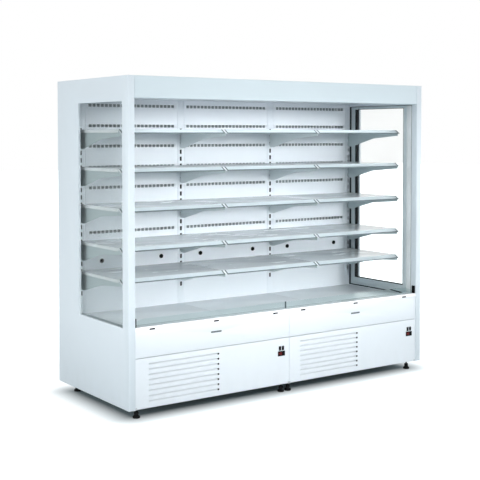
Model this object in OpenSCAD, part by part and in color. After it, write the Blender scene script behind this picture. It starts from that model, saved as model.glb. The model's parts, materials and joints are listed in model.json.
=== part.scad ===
// Refrigerated multideck display case: glazed end walls, five tiers of shelves in three bays,
// a low glass riser, louvred service panels that fold down and a night blind behind the fascia.
// Inside each module, y runs back from the front face and z runs up from the cabinet's underside.

/* [Cabinet] */
// Overall length over both end walls
length = 2500; // [2200:10:3000]
// Overall depth from the front faces to the rear face
depth = 990; // [960:5:1150]
// Height of the cabinet above its feet
body_height = 2066; // [2030:2:2200]
// Thickness of each end wall
end_wall = 48; // [44:1:70]
// Thickness of the insulated rear wall and roof
insulation = 60; // [40:1:80]
// Rounding of the end walls' upright edges
edge_r = 4; // [2:0.5:8]
// Thickness of folded sheet metal
sheet = 1.5; // [1:0.1:2]
// Clearance between neighbouring pieces
gap = 0.3; // [0.2:0.05:0.5]

/* [Base] */
// Height of the levelling feet
foot_h = 64; // [50:1:90]
// Diameter of the foot pads
foot_d = 47; // [40:1:60]
// Height of the seam between the service panels and the upper panels
seam_z = 320; // [310:1:330]
// Height of the front ledge's underside
ledge_z = 488; // [480:1:500]
// Height of the front ledge
ledge_h = 24; // [20:1:30]
// Depth of the front ledge
ledge_d = 84; // [75:1:100]
// Height of the glass riser's top edge above the ledge
riser_h = 44; // [30:1:80]
// Height of the deck plates' surface
deck_z = 490; // [486:1:500]
// Thickness of the upper front panels
upper_panel_t = 18; // [14:1:22]
// Thickness of the insulated tub
tub_t = 40; // [30:1:45]

/* [Service panels] */
// Number of louvres in a panel
louvres = 8; // [4:1:8]
// Distance from one louvre to the next
louvre_pitch = 33.4; // [28:0.2:34]
// Length of a louvre
louvre_w = 530; // [300:5:600]
// Height of a louvre's opening
louvre_h = 12; // [8:1:22]
// Distance from the panel's left edge to the louvres
louvre_x = 93; // [60:1:200]
// Depth of a panel's folded edges
panel_fold = 32; // [28:1:36]
// Diameter of the hinge pins
hinge_d = 4.6; // [4:0.2:5.4]

/* [Controls] */
// Width of the temperature display
display_w = 61; // [50:1:76]
// Height of the temperature display
display_h = 34; // [28:1:36]
// Width of a rocker switch's frame
switch_w = 19; // [17:0.5:21]
// Height of a rocker switch's frame
switch_h = 30; // [28:0.5:34]
// Angle between a rocker's two positions
rocker_swing = 18; // [10:1:20]

/* [Fascia and blind] */
// Height of the fascia
fascia_h = 138; // [130:1:170]
// Thickness of the fascia
fascia_t = 18; // [14:1:19]
// Diameter of the wound night blind
blind_roll_d = 52; // [46:1:54]
// Height of the blind's pull bar
bar_h = 20; // [16:1:24]

/* [End windows] */
// Distance from the front face to the window
window_y = 75; // [70:1:100]
// Width of the window
window_w = 600; // [450:5:620]
// Height of the window's lower edge
window_z = 506; // [502:1:520]
// Distance from the fascia down to the window's upper edge
window_drop = 20; // [19:1:60]
// Thickness of a pane
pane_t = 4; // [3:0.5:6]
// Space between the two panes
pane_space = 12; // [8:1:14]

/* [Shelves] */
// Number of bays along the case
bays = 3; // [2:1:3]
// Distance from the fascia down to the first tier's lip
first_tier_drop = 218; // [200:1:240]
// Distance between the upper tiers
tier_gap = 250; // [200:50:250]
// Distance between the two lowest tiers
low_tier_gap = 200; // [150:50:200]
// Distance from the front face to the shelves' lips
shelf_y = 177; // [150:1:260]
// Height of a shelf at its lip
shelf_h = 25; // [22:1:30]
// Slope of the ticket strips from the level
strip_angle = 32.6; // [28:0.1:45]
// Thickness of a shelf bracket
bracket_t = 2; // [1.5:0.1:2.2]
// Distance from the front face to the back panels
panel_y = 757; // [720:1:770]
// Side of a back panel's square perforations, across
hole_w = 22; // [12:1:24]
// Distance from one perforation to the next
hole_pitch = 31; // [26:1:40]

/* [Cooling] */
// Diameter of the condenser fans
condenser_fan_d = 220; // [160:5:230]
// Diameter of the evaporator fans
evaporator_fan_d = 92; // [70:1:94]

/* [Hidden] */
$fn = 48;

// Shell
inner = length / 2 - end_wall;
run = inner - gap;
rear_y = depth - insulation;
fascia_z = body_height - fascia_h;
roof_z = body_height - insulation;
fascia_y = 2;
panel_front = 4;
seam_gap = 3;

// Tub, ledge and riser
tub_z = seam_z + 6;
tub_y = panel_front + upper_panel_t + gap;
tub_floor = tub_z + tub_t;
ledge_y = 1;
ledge_top = ledge_z + ledge_h;
riser_t = 6;
riser_y = 42;
riser_groove = 8;
riser_corner = [70, 26];
grille_d = 64;
grille_slot = [8, 40];
grille_slot_pitch = 20;
deck_front = ledge_y + ledge_d + grille_d + 2 * gap;
fold_h = 14;

// Service panels and their hinges
hinge_y = panel_front + hinge_d / 2 + 0.5;
hinge_z = 5;
hinge_block = 12;
hinge_pin_l = 8;
pan_y = 42;
pan_t = 4;
pan_flange = 36;
service_top = seam_z - seam_gap;
service_bottom = 2;
first_louvre_z = 37;

service_w = inner - seam_gap;
notch = hinge_block + seam_gap;
louvre_blade_d = 13;

// Levelling feet
stud_d = 12;
stud_in_pad = 20;
nut_w = 21;
nut_h = 8;
pad_rim = 12;
foot_from_end = 37;
foot_from_middle = 30;
foot_from_front = 60;
foot_from_rear = 50;
foot_columns = [foot_from_end - inner, -foot_from_middle, foot_from_middle, inner - foot_from_end];
foot_spots = [for (x = foot_columns, y = [foot_from_front, rear_y - foot_from_rear]) [x, y]];

// Upper panels' insets
inset_w = 84;
inset_h = 11;
inset_z = (seam_z + ledge_z) / 2 + 20;
inset_depth = 12;
inset_rim = 3;

// Ledge clips
clip_w = 40;
clip_h = 10;
clip_d = 4;
clip_rise = 7;
clip_spots = [for (half = [-inner, 0], share = [0.1, 0.5, 0.9]) half + share * inner];

// Controls, measured from each service panel's right edge
control_x = 66;
switch_pitch = 25.5;
switch_z = 250;
display_z = 214;
switch_wall = 1;
switch_rim = 1;
switch_depth = 18;
display_rim = 4;
display_depth = 50;
flange_t = 1.5;
rocker_pivot = 5;
rocker_pin_r = 1.5;
body_w = switch_w - switch_rim - 2 * gap;
body_h = switch_h - switch_rim - 2 * gap;
well_w = body_w - 2 * switch_wall;
well_h = body_h - 2 * switch_wall;
rocker_w = well_w - 2 * gap;
rocker_half = well_h / 2 - 1.2;

// End windows: how far in from the rebate the members of each inner frame end, as [front, back, bottom,
// top] for the outer gasket, the start and end of the metal profile and the inner gasket
frame_depth = 10.4;
pane_play = 0.6;
pane_edge = 1;
lip_t = end_wall - frame_depth - pane_play - 2 * pane_t - pane_space;
rebate = [21, 79, 14, 18];
left_frame = [[3, 2, 8, 4], [53, 2, 8, 4], [70, 6, 12, 14], [75, 8, 14, 18]];
right_frame = [[3, 20, 8, 4], [53, 20, 8, 4], [88, 66, 65, 22], [91, 86, 73, 25]];
mirror_w = 50;
spacer_rim = 5;
spacer_w = 10;
window_top = fascia_z - window_drop;

// Shelves and rear uprights
bay = 2 * inner / bays;
tiers = 5;
first_lip = fascia_z - first_tier_drop;
shelf_gap = 1.5;
shelf_back = panel_y - 2;
strip_t = 2;
upright_w = 57;
end_upright_w = 45;
end_slot_x = 12;
upright_t = 2;
upright_fold = 25;
upright_bottom = deck_z - 20;
slot_pitch = 50;
slot_play = 10;
slot_w = 2 * bracket_t + slot_play;
slot_h = 30;
first_slot_rise = 20;
lug_drops = [slot_pitch - first_slot_rise, 2 * slot_pitch - first_slot_rise];
lug_h = 22;
lug_reach = 15;
hook_drop = 6;
bracket_front = 13;
bracket_low = 16;
bracket_bend = [288, 39];
bracket_foot = 50;
bracket_rear = 103;
bracket_play = 0.4;
tier_span = (tiers - 2) * tier_gap + low_tier_gap;
slots = floor((tier_span + bracket_rear + first_slot_rise) / slot_pitch) + 2;
strip_run = shelf_h / tan(strip_angle);
skirt = sheet / sin(strip_angle);
rear_fold = 20;
ceiling_z = fascia_z + 17;
standoff_h = 40;
standoffs = [for (share = [0.11, 0.52, 0.94]) share * (ceiling_z - upright_bottom)];
hole_h = 20;
row_drops = [26, 165, 304, 446, 586, 742, 890];
plug_drop = 1087;
plug_offset = 235;
plug_d = 30;
plug_hole_d = 25;

// Night blind behind the fascia
bar_y = fascia_y + fascia_t + 2;
bar_t = 10;
bar_z = fascia_z + 3;
fabric_y = bar_y + bar_t / 2;
fabric_t = 0.6;
roll_r = blind_roll_d / 2 - gap;
roll_y = fabric_y + fabric_t / 2 + gap + roll_r;
roll_z = roof_z - 4 - roll_r - 3;
roll_pin_r = 4;
roll_wall = 6;
cassette_y = roll_y + roll_r + 3;
cassette_side = 3;
cassette_z = roll_z - roll_r + 4;
catch_w = 12;
catch_y = 9;
catch_h = 55;
catch_notch_z = 26;
catch_d = 24;
catch_wall = 5;
pull_pin_r = 2.5;
pull_pin_l = 8;
bar_end = inner - catch_w - 4;

// Canopy: lamp, air outlet and the liner behind them
lamp_y = cassette_y + 5;
lamp_d = 30;
lamp_rise = 10;
lens_h = 12;
outlet_rim = 6;
outlet_cell = [14, 24];
outlet_y = lamp_y + lamp_d + 4;
outlet_d = 64;
outlet_h = 20;

// Cooling unit in each half of the base
unit_x = louvre_x + louvre_w / 2;
coil_y = 80;
coil_d = 70;
coil_w = 420;
coil_h = 255;
fan_z = 140;
shroud_y = coil_y + coil_d + gap;
fan_gap = 5;
ring_t = 2;
arm_w = 6;
fan_blades = 5;
blade_pitch = 25;
condenser_deep = 30;
condenser_shaft = 8;
evaporator_deep = 22;
evaporator_shaft = 4;
compressor_y = 620;
compressor_r = 75;
compressor_l = 90;
compressor_w = 220;
compressor_d = 170;
rubber_h = 16;
rubber_d = 26;
rubber_inset = 15;
base_plate_t = 6;
seat = 1;
coil_rim = 2;
coil_inset = 3;
evaporator_y = 430;
evaporator_d = 290;
evaporator_side = 90;
fan_plate_y = 320;
fan_plate_t = 2;
evaporator_fan_z = (tub_floor + deck_z - fold_h) / 2;

// Moves what is drawn from the cabinet's front and underside to its place over the floor
module cabinet() translate([0, -depth / 2, foot_h]) children();

module box(x, y, z) translate([x[0], y[0], z[0]]) cube([x[1] - x[0], y[1] - y[0], z[1] - z[0]]);

// An outline in (y, z), drawn out along x
module along_x(x0, x1) translate([x0, 0, 0]) rotate([90, 0, 90]) linear_extrude(x1 - x0) children();

// An outline in (x, z), drawn out along y
module along_y(y0, y1) translate([0, y1, 0]) rotate([90, 0, 0]) linear_extrude(y1 - y0) children();

module both_ends() {
    children();
    mirror([1, 0, 0]) children();
}

module both_halves() {
    translate([-inner, 0, 0]) children();
    children();
}

function evenly(inset) = [inset, inset, inset, inset];

// The window's outline in (y, z), grown by a [front, back, bottom, top] rebate and then shrunk
module window_outline(shrink) {
    y0 = window_y - rebate[0] + shrink[0];
    y1 = window_y + window_w + rebate[1] - shrink[1];
    z0 = window_z - rebate[2] + shrink[2];
    z1 = window_top + rebate[3] - shrink[3];
    translate([y0, z0]) square([y1 - y0, z1 - z0]);
}

module end_wall_plan() {
    translate([-length / 2, edge_r]) square([end_wall, depth - 2 * edge_r]);
    translate([-length / 2 + edge_r, 0]) square([end_wall - 2 * edge_r, depth]);
    for (x = [edge_r, end_wall - edge_r], y = [edge_r, depth - edge_r])
        translate([x - length / 2, y]) circle(edge_r);
}

module end_wall_body() color("#dfe6ea") difference() {
    linear_extrude(body_height) end_wall_plan();
    along_x(-length / 2 - 1, -inner + 1)
        translate([window_y, window_z]) square([window_w, window_top - window_z]);
    along_x(-length / 2 + lip_t, -inner + 1) window_outline(evenly(0));
}

module side_panes() color("#cfe3e3", 0.35) {
    x0 = -length / 2 + lip_t;
    for (x = [x0, x0 + pane_t + pane_space])
        along_x(x, x + pane_t) window_outline(evenly(pane_edge));
}

module end_wall_left() cabinet() end_wall_body();
module end_wall_right() cabinet() mirror([1, 0, 0]) end_wall_body();
module side_glass_left() cabinet() side_panes();
module side_glass_right() cabinet() mirror([1, 0, 0]) side_panes();

module glazing_spacers() color("#b8bec2") cabinet() both_ends() {
    x0 = -length / 2 + lip_t + pane_t;
    along_x(x0, x0 + pane_space) difference() {
        window_outline(evenly(spacer_rim));
        window_outline(evenly(spacer_rim + spacer_w));
    }
}

module frame_ring(outer, inside) {
    along_x(-inner - frame_depth, -inner - gap) difference() {
        window_outline(outer + evenly(gap));
        window_outline(inside);
    }
}

module frame_gaskets(lines) {
    frame_ring(evenly(0), lines[0]);
    frame_ring(lines[2], lines[3]);
}

module window_gaskets() color("#15181a") cabinet() {
    frame_gaskets(left_frame);
    mirror([1, 0, 0]) frame_gaskets(right_frame);
}

module window_trims() color("#8d9498") cabinet() {
    frame_ring(left_frame[1], left_frame[2]);
    mirror([1, 0, 0]) frame_ring(right_frame[1], right_frame[2]);
}

module mirror_strips() color("#c9d2d4") cabinet() both_ends() {
    rim = right_frame[0];
    y0 = window_y - rebate[0] + rim[0] + gap;
    z0 = window_z - rebate[2] + rim[2] + gap;
    z1 = window_top + rebate[3] - rim[3] - gap;
    box([-inner - frame_depth, -inner - gap], [y0, y0 + mirror_w - 2 * gap], [z0, z1]);
}

module back_wall() color("#d9dfe2") cabinet()
    box([-run, run], [rear_y, depth], [0, body_height]);

module roof() color("#dde3e6") cabinet()
    box([-run, run], [fascia_y + fascia_t + gap, rear_y - gap], [roof_z, body_height]);

module fascia() color("#e9eef0") cabinet() {
    along_x(-run, run) {
        translate([fascia_y, fascia_z + edge_r]) square([fascia_t, fascia_h - 2 * edge_r]);
        translate([fascia_y + edge_r, fascia_z]) square([fascia_t - edge_r, fascia_h]);
        for (z = [edge_r, fascia_h - edge_r])
            translate([fascia_y + edge_r, fascia_z + z]) circle(edge_r);
    }
}

module canopy_liner() color("#dde4e6") cabinet()
    box([-run, run], [outlet_y + outlet_d + gap, panel_y + upright_t], [ceiling_z, ceiling_z + sheet]);

module air_outlet() color("#c6cdcf") cabinet() {
    cells = floor(2 * run / grille_slot_pitch);
    first = -(cells - 1) * grille_slot_pitch / 2;
    translate([0, outlet_y, ceiling_z]) linear_extrude(outlet_h) difference() {
        translate([-run, 0]) square([2 * run, outlet_d]);
        for (i = [0 : cells - 1], y = [outlet_rim, outlet_d - outlet_rim - outlet_cell[1]])
            translate([first + i * grille_slot_pitch - outlet_cell[0] / 2, y]) square(outlet_cell);
    }
    box([-run, run], [outlet_y - sheet, outlet_y], [ceiling_z, roof_z - gap]);
}

module lamp_housing() color("#e4e9ea") cabinet() along_x(-run, run) difference() {
    z0 = ceiling_z + lamp_rise;
    z1 = roof_z - gap;
    translate([lamp_y, z0]) square([lamp_d, z1 - z0]);
    translate([lamp_y + sheet, z0 - 1]) square([lamp_d - 2 * sheet, z1 - sheet - z0 + 1]);
}

module lamp_diffuser() color("#f6fbff") cabinet() along_x(-run + 4, run - 4) {
    r = lamp_d / 2 - sheet - gap;
    translate([lamp_y + lamp_d / 2 - r, ceiling_z + lamp_rise - 2]) square([2 * r, lens_h]);
    translate([lamp_y + lamp_d / 2, ceiling_z + lamp_rise - 2]) intersection() {
        circle(r);
        translate([-lamp_d, -lens_h / 2]) square([2 * lamp_d, lens_h / 2 + 1]);
    }
}

module insulated_tub() color("#e6ecec") cabinet() along_x(-run, run) {
    translate([tub_y, tub_z]) square([rear_y - gap - tub_y, tub_t]);
    translate([tub_y, tub_z]) square([tub_t, ledge_z - gap - tub_z]);
}

// Base pan with hinge blocks at the panels' lower corners and holes for the feet
module base_pan() color("#e3e8ea") cabinet() {
    difference() {
        union() {
            box([-run, run], [pan_y, rear_y - gap], [0, pan_t]);
            for (y = [pan_y, rear_y - gap - 2])
                box([-run, run], [y, y + 2], [0, pan_flange]);
        }
        for (spot = foot_spots)
            translate([spot[0], spot[1], -1]) cylinder(h = pan_t + 2, d = stud_d + 2 * gap);
    }
    difference() {
        for (x = [-inner + hinge_block / 2 + gap, 0, inner - hinge_block / 2 - gap]) {
            w = (x == 0 ? 2 : 1) * hinge_block;
            box([x - w / 2, x + w / 2], [panel_front + 0.5, pan_y + 1], [0, hinge_block]);
        }
        along_x(-inner - 1, inner + 1)
            translate([hinge_y, hinge_z]) circle(d = hinge_d + 2 * gap);
    }
}

module foot_studs() color("#a9afb2") cabinet() for (spot = foot_spots) translate(spot) {
    translate([0, 0, stud_in_pad - foot_h]) cylinder(h = foot_h + nut_h + 2, d = stud_d);
    for (z = [-gap - nut_h, pan_t + gap]) translate([0, 0, z]) cylinder(h = nut_h, d = nut_w, $fn = 6);
}

module foot_pads() color("#1c1e1f") cabinet() for (spot = foot_spots)
    translate([spot[0], spot[1], -foot_h]) {
        cylinder(h = pad_rim, d = foot_d);
        translate([0, 0, pad_rim])
            cylinder(h = stud_in_pad - pad_rim - gap, d1 = foot_d, d2 = foot_d / 2);
    }

module oblong(w, h) {
    square([w - h, h], center = true);
    for (x = [h - w, w - h]) translate([x / 2, 0]) circle(d = h);
}

module upper_panels() color("#eef2f5") cabinet() both_halves()
    difference() {
        box([seam_gap / 2, inner - seam_gap / 2], [panel_front, panel_front + upper_panel_t],
            [seam_z + 1, ledge_z - gap]);
        along_y(panel_front - 1, panel_front + inset_depth + 1)
            translate([inner / 2, inset_z]) oblong(inset_w - inset_rim, inset_h - inset_rim);
    }

module panel_insets() color("#6f7880") cabinet() both_halves() translate([inner / 2, 0, inset_z]) {
    along_y(panel_front - flange_t - gap, panel_front - gap) oblong(inset_w, inset_h);
    along_y(panel_front - 1, panel_front + inset_depth)
        oblong(inset_w - inset_rim - 2 * gap, inset_h - inset_rim - 2 * gap);
}

// One service panel, drawn from its left edge: a folded tray with louvres pressed inwards
module louvre_blade() {
    along_x(0, louvre_w) polygon([
        [panel_front, 0], [panel_front + sheet, 0],
        [panel_front + louvre_blade_d, louvre_h - 1], [panel_front + louvre_blade_d - sheet, louvre_h - 1]
    ]);
}

module service_tray() difference() {
    box([0, service_w], [panel_front, panel_front + panel_fold], [service_bottom, service_top]);
    box([sheet, service_w - sheet], [panel_front + sheet, panel_front + panel_fold + 1],
        [service_bottom + sheet, service_top - sheet]);
    for (x = [-1, service_w - notch + 1])
        box([x, x + notch], [0, panel_front + panel_fold + 1], [0, hinge_block + 1]);
}

module service_panel() color("#f1f4f6") {
    difference() {
        service_tray();
        for (i = [0 : louvres - 1])
            box([louvre_x, louvre_x + louvre_w], [0, panel_front + sheet + 1],
                [first_louvre_z + i * louvre_pitch, first_louvre_z + i * louvre_pitch + louvre_h]);
        for (x = [-1, 1]) translate([service_w - control_x + x * switch_pitch / 2, 0, switch_z])
            along_y(0, panel_front + 5)
                square([switch_w - switch_rim, switch_h - switch_rim], center = true);
        translate([service_w - control_x, 0, display_z]) along_y(0, panel_front + 5)
            square([display_w - display_rim, display_h - display_rim], center = true);
    }
    for (i = [0 : louvres - 1])
        translate([louvre_x, 0, first_louvre_z + i * louvre_pitch]) louvre_blade();
    for (x = [notch - 1, service_w - notch + 1 - sheet])
        box([x, x + sheet], [panel_front, panel_front + panel_fold], [service_bottom, hinge_block + 3]);
    for (x = [notch - 1 - hinge_pin_l, service_w - notch + 1])
        translate([x, hinge_y, hinge_z]) rotate([0, 90, 0]) cylinder(h = hinge_pin_l, d = hinge_d);
}

module left_half() cabinet() translate([seam_gap / 2 - inner, 0, 0]) children();
module right_half() cabinet() translate([seam_gap / 2, 0, 0]) children();

module service_panel_left() left_half() service_panel();
module service_panel_right() right_half() service_panel();

module controller() color("#23272b") translate([service_w - control_x, 0, display_z]) {
    along_y(panel_front - flange_t - gap, panel_front - gap) square([display_w, display_h], center = true);
    along_y(panel_front - 1, panel_front + display_depth)
        square([display_w - display_rim - 2 * gap, display_h - display_rim - 2 * gap], center = true);
}

module controller_left() left_half() controller();
module controller_right() right_half() controller();

// Places a switch: side -1 for the left one of a pair and 1 for the right one
module at_switch(side)
    translate([service_w - control_x + side * switch_pitch / 2, panel_front, switch_z]) children();

module switch_frame() color("#191b1d") difference() {
    union() {
        along_y(-flange_t - gap, -gap) square([switch_w, switch_h], center = true);
        along_y(-1, switch_depth) square([body_w, body_h], center = true);
    }
    along_y(-3, switch_depth - 2) square([well_w, well_h], center = true);
    translate([-switch_w, rocker_pivot, 0]) rotate([0, 90, 0])
        cylinder(h = 2 * switch_w, r = rocker_pin_r + gap);
}

module switch_frames() for (side = [-1, 1]) at_switch(side) switch_frame();
module switch_frames_left() left_half() switch_frames();
module switch_frames_right() right_half() switch_frames();

module rocker() color("#101112") translate([0, rocker_pivot, 0]) rotate([rocker_swing / 2, 0, 0]) {
    along_x(-rocker_w / 2, rocker_w / 2) polygon([
        [2.5, -rocker_half], [-4.5, -rocker_half], [-3, 0], [-4.5, rocker_half], [2.5, rocker_half]
    ]);
    translate([-rocker_w / 2 - 1, 0, 0]) rotate([0, 90, 0])
        cylinder(h = rocker_w + 2, r = rocker_pin_r);
}

module rocker_left_a() left_half() at_switch(-1) rocker();
module rocker_left_b() left_half() at_switch(1) rocker();
module rocker_right_a() right_half() at_switch(-1) rocker();
module rocker_right_b() right_half() at_switch(1) rocker();

// Front ledge with pockets for its clips and a groove for the riser
module ledge() color("#dbe0e2") cabinet() difference() {
    along_x(-run, run) difference() {
        union() {
            translate([ledge_y, ledge_z]) square([ledge_d, ledge_h - edge_r]);
            translate([ledge_y + edge_r, ledge_z]) square([ledge_d - edge_r, ledge_h]);
            translate([ledge_y + edge_r, ledge_top - edge_r]) circle(edge_r);
        }
        translate([riser_y - gap, ledge_top - riser_groove]) square([riser_t + 2 * gap, ledge_h]);
    }
    for (x = clip_spots)
        box([x - clip_w / 2 - gap, x + clip_w / 2 + gap], [0, ledge_y + clip_d],
            [ledge_z + clip_rise - clip_h / 2 - gap, ledge_z + clip_rise + clip_h / 2 + gap]);
}

module ledge_clips() color("#141617") cabinet() {
    for (x = clip_spots)
        box([x - clip_w / 2, x + clip_w / 2], [ledge_y - 0.5, ledge_y + clip_d - gap],
            [ledge_z + clip_rise - clip_h / 2, ledge_z + clip_rise + clip_h / 2]);
    difference() {
        box([-3, 3], [riser_y - 3, riser_y + riser_t + 3],
            [ledge_top + gap, ledge_top + riser_h + 2]);
        for (x = [-4, 1])
            box([x, x + 3], [riser_y - gap, riser_y + riser_t + gap],
                [ledge_top, ledge_top + riser_h + gap]);
    }
}

module riser_glass() color("#bfe0dc", 0.5) cabinet() both_ends()
    along_y(riser_y, riser_y + riser_t) polygon([
        [-run, ledge_top - riser_groove + gap], [-run, ledge_top + riser_h - riser_corner[1]],
        [-run + riser_corner[0], ledge_top + riser_h], [-1 - gap, ledge_top + riser_h],
        [-1 - gap, ledge_top - riser_groove + gap]
    ]);

module return_grille() color("#8b979b") cabinet() {
    slots_n = floor(2 * run / grille_slot_pitch) - 1;
    first = -(slots_n - 1) * grille_slot_pitch / 2;
    y0 = ledge_y + ledge_d + gap;
    translate([0, y0, ledge_z - sheet]) linear_extrude(sheet) difference() {
        translate([-run, 0]) square([2 * run, grille_d]);
        for (i = [0 : slots_n - 1])
            translate([first + i * grille_slot_pitch - grille_slot[0] / 2,
                       (grille_d - grille_slot[1]) / 2]) square(grille_slot);
    }
    for (y = [y0, y0 + grille_d - sheet])
        box([-run, run], [y, y + sheet], [ledge_z - fold_h, ledge_z]);
}

module deck_plates() color("#e2e8ea") cabinet() for (i = [0 : bays - 1]) difference() {
    x0 = -inner + i * bay + shelf_gap / 2;
    x1 = x0 + bay - shelf_gap;
    box([x0, x1], [deck_front, panel_y - gap], [deck_z - fold_h, deck_z]);
    box([x0 + sheet, x1 - sheet], [deck_front + sheet, panel_y - gap - sheet],
        [deck_z - fold_h - 1, deck_z - sheet]);
}

// Rear wall of the display space: perforated panels between slotted uprights
function upright_x(i) = -inner + i * bay;
function upright_from(i) = i == 0 ? -run : upright_x(i) - (i == bays ? end_upright_w : upright_w / 2);
function upright_to(i) = i == bays ? run : upright_x(i) + (i == 0 ? end_upright_w : upright_w / 2);
function slot_x(i) = i == 0 ? -inner + end_slot_x : i == bays ? inner - end_slot_x : upright_x(i);

module uprights() color("#d5dcde") cabinet() for (i = [0 : bays]) {
    x0 = upright_from(i);
    x1 = upright_to(i);
    along_y(panel_y, panel_y + upright_t) difference() {
        translate([x0, upright_bottom]) square([x1 - x0, ceiling_z - gap - upright_bottom]);
        for (n = [0 : slots - 1])
            translate([slot_x(i), first_lip + first_slot_rise - n * slot_pitch])
                square([slot_w, slot_h], center = true);
    }
    for (x = [x0, x1 - upright_t])
        box([x, x + upright_t], [panel_y + upright_t, panel_y + upright_fold],
            [upright_bottom, ceiling_z - gap]);
    for (rise = standoffs)
        box([x0, x1], [panel_y + upright_fold - 2, rear_y - gap],
            [upright_bottom + rise, upright_bottom + rise + standoff_h]);
}

module back_panels() color("#dfe6ea") cabinet() for (i = [0 : bays - 1]) {
    x0 = upright_to(i) + gap;
    x1 = upright_from(i + 1) - gap;
    n = floor((x1 - x0 - 24 - hole_w) / hole_pitch) + 1;
    middle = (x0 + x1) / 2;
    along_y(panel_y, panel_y + upright_t) difference() {
        translate([x0, upright_bottom]) square([x1 - x0, ceiling_z - gap - upright_bottom]);
        for (drop = row_drops, k = [0 : n - 1])
            translate([middle + (k - (n - 1) / 2) * hole_pitch, fascia_z - drop])
                square([hole_w, hole_h], center = true);
        for (side = [-1, 1]) translate([upright_x(i) + bay / 2 + side * plug_offset, fascia_z - plug_drop])
            circle(d = plug_hole_d);
    }
    for (x = [x0, x1 - sheet])
        box([x, x + sheet], [panel_y + upright_t, panel_y + upright_fold - 5],
            [upright_bottom, ceiling_z - gap]);
}

module panel_plugs() color("#131516") cabinet() for (i = [0 : bays - 1], side = [-1, 1])
    translate([upright_x(i) + bay / 2 + side * plug_offset, panel_y, fascia_z - plug_drop])
        rotate([90, 0, 0]) {
            translate([0, 0, gap]) cylinder(h = 4, d = plug_d);
            translate([0, 0, -upright_t - 3]) cylinder(h = upright_t + 3 + gap, d = plug_hole_d - 2 * gap);
        }

// Shelves, from the lip's lower edge up and back
function lip_z(tier) = first_lip - (tier < tiers ? (tier - 1) * tier_gap : tier_span);

module shelf(x0, x1) {
    along_x(x0, x1) polygon([
        [shelf_y, 0], [shelf_y + strip_run, shelf_h], [shelf_back, shelf_h],
        [shelf_back, shelf_h - rear_fold], [shelf_back - sheet, shelf_h - rear_fold],
        [shelf_back - sheet, shelf_h - sheet],
        [shelf_y + skirt + (shelf_h - sheet) / tan(strip_angle), shelf_h - sheet],
        [shelf_y + skirt, 0]
    ]);
    for (x = [x0 + sheet, x1 - 2 * sheet])
        box([x, x + sheet], [shelf_y + strip_run + skirt, shelf_back - sheet],
            [shelf_h - rear_fold, shelf_h - sheet]);
}

module shelf_tier(tier) color("#dfe6e8") cabinet() translate([0, 0, lip_z(tier)])
    for (i = [0 : bays - 1])
        shelf(upright_x(i) + shelf_gap, upright_x(i + 1) - shelf_gap);

module shelf_tier_1() shelf_tier(1);
module shelf_tier_2() shelf_tier(2);
module shelf_tier_3() shelf_tier(3);
module shelf_tier_4() shelf_tier(4);
module shelf_tier_5() shelf_tier(5);

module ticket_strips() color("#eef2f2") cabinet() for (tier = [1 : tiers], i = [0 : bays - 1])
    translate([0, 0, lip_z(tier)])
        along_x(upright_x(i) + shelf_gap, upright_x(i + 1) - shelf_gap)
            translate([shelf_y, 0]) rotate(strip_angle)
                translate([0, gap]) square([shelf_h / sin(strip_angle), strip_t]);

module bracket_side() {
    y0 = shelf_y + bracket_front;
    y1 = panel_y - gap;
    top = shelf_h - sheet - gap;
    under_skirt = (bracket_front - skirt) * tan(strip_angle) - gap;
    polygon([
        [y0, -bracket_low], [y0, under_skirt],
        [shelf_y + strip_run + skirt, top], [shelf_back - sheet - gap, top],
        [shelf_back - sheet - gap, 0], [y1, 0], [y1, -bracket_rear], [y1 - bracket_foot, -bracket_rear],
        [shelf_y + bracket_bend[0], -bracket_bend[1]]
    ]);
    for (drop = lug_drops) {
        translate([y1 - 1, -drop - lug_h / 2]) square([lug_reach + 1, lug_h]);
        translate([panel_y + upright_t + 1, -drop - lug_h / 2 - hook_drop + 1])
            square([y1 + lug_reach - panel_y - upright_t - 1, hook_drop]);
    }
}

// Each shelf has a bracket under both ends; neighbours share the slots of one upright
function left_bracket(i) = i == 0 ? -inner + end_slot_x - bracket_t / 2 : upright_x(i) + bracket_play;
function bracket_x(i, right) = right ? -left_bracket(bays - 1 - i) - bracket_t : left_bracket(i);

module shelf_brackets() color("#9aa8ab") cabinet()
    for (tier = [1 : tiers], i = [0 : bays - 1], right = [false, true])
        translate([bracket_x(i, right), 0, lip_z(tier)]) along_x(0, bracket_t) bracket_side();

// Night blind
module blind_cassette() color("#b4babd") cabinet() {
    box([-run, run], [bar_y, cassette_y], [roof_z - gap - sheet, roof_z - gap]);
    box([-run, run], [cassette_y, cassette_y + sheet], [cassette_z, roof_z - gap]);
    both_ends() difference() {
        box([-run, -run + cassette_side], [bar_y, cassette_y + 1], [cassette_z, roof_z - gap]);
        along_x(-inner - 1, -inner + 2 * cassette_side)
            translate([roll_y, roll_z]) circle(roll_pin_r + gap);
    }
}

module blind_roller() color("#c3d0d2") cabinet() translate([0, roll_y, roll_z]) rotate([0, 90, 0]) {
    difference() {
        translate([0, 0, -bar_end]) cylinder(h = 2 * bar_end, r = roll_r);
        translate([0, 0, -bar_end + roll_wall])
            cylinder(h = 2 * (bar_end - roll_wall), r = roll_r - roll_wall);
    }
    for (z = [-run + 0.5, bar_end - 1])
        translate([0, 0, z]) cylinder(h = run - bar_end + 0.5, r = roll_pin_r);
}

module blind_bar() color("#8f979a") cabinet() {
    along_x(-bar_end, bar_end) {
        translate([bar_y, bar_z + bar_t / 2]) square([bar_t, bar_h - bar_t / 2]);
        translate([fabric_y, bar_z + bar_t / 2]) circle(bar_t / 2);
    }
    both_ends() translate([-bar_end - pull_pin_l, fabric_y, bar_z + bar_h / 2]) rotate([0, 90, 0])
        cylinder(h = pull_pin_l + 1, r = pull_pin_r);
}

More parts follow.
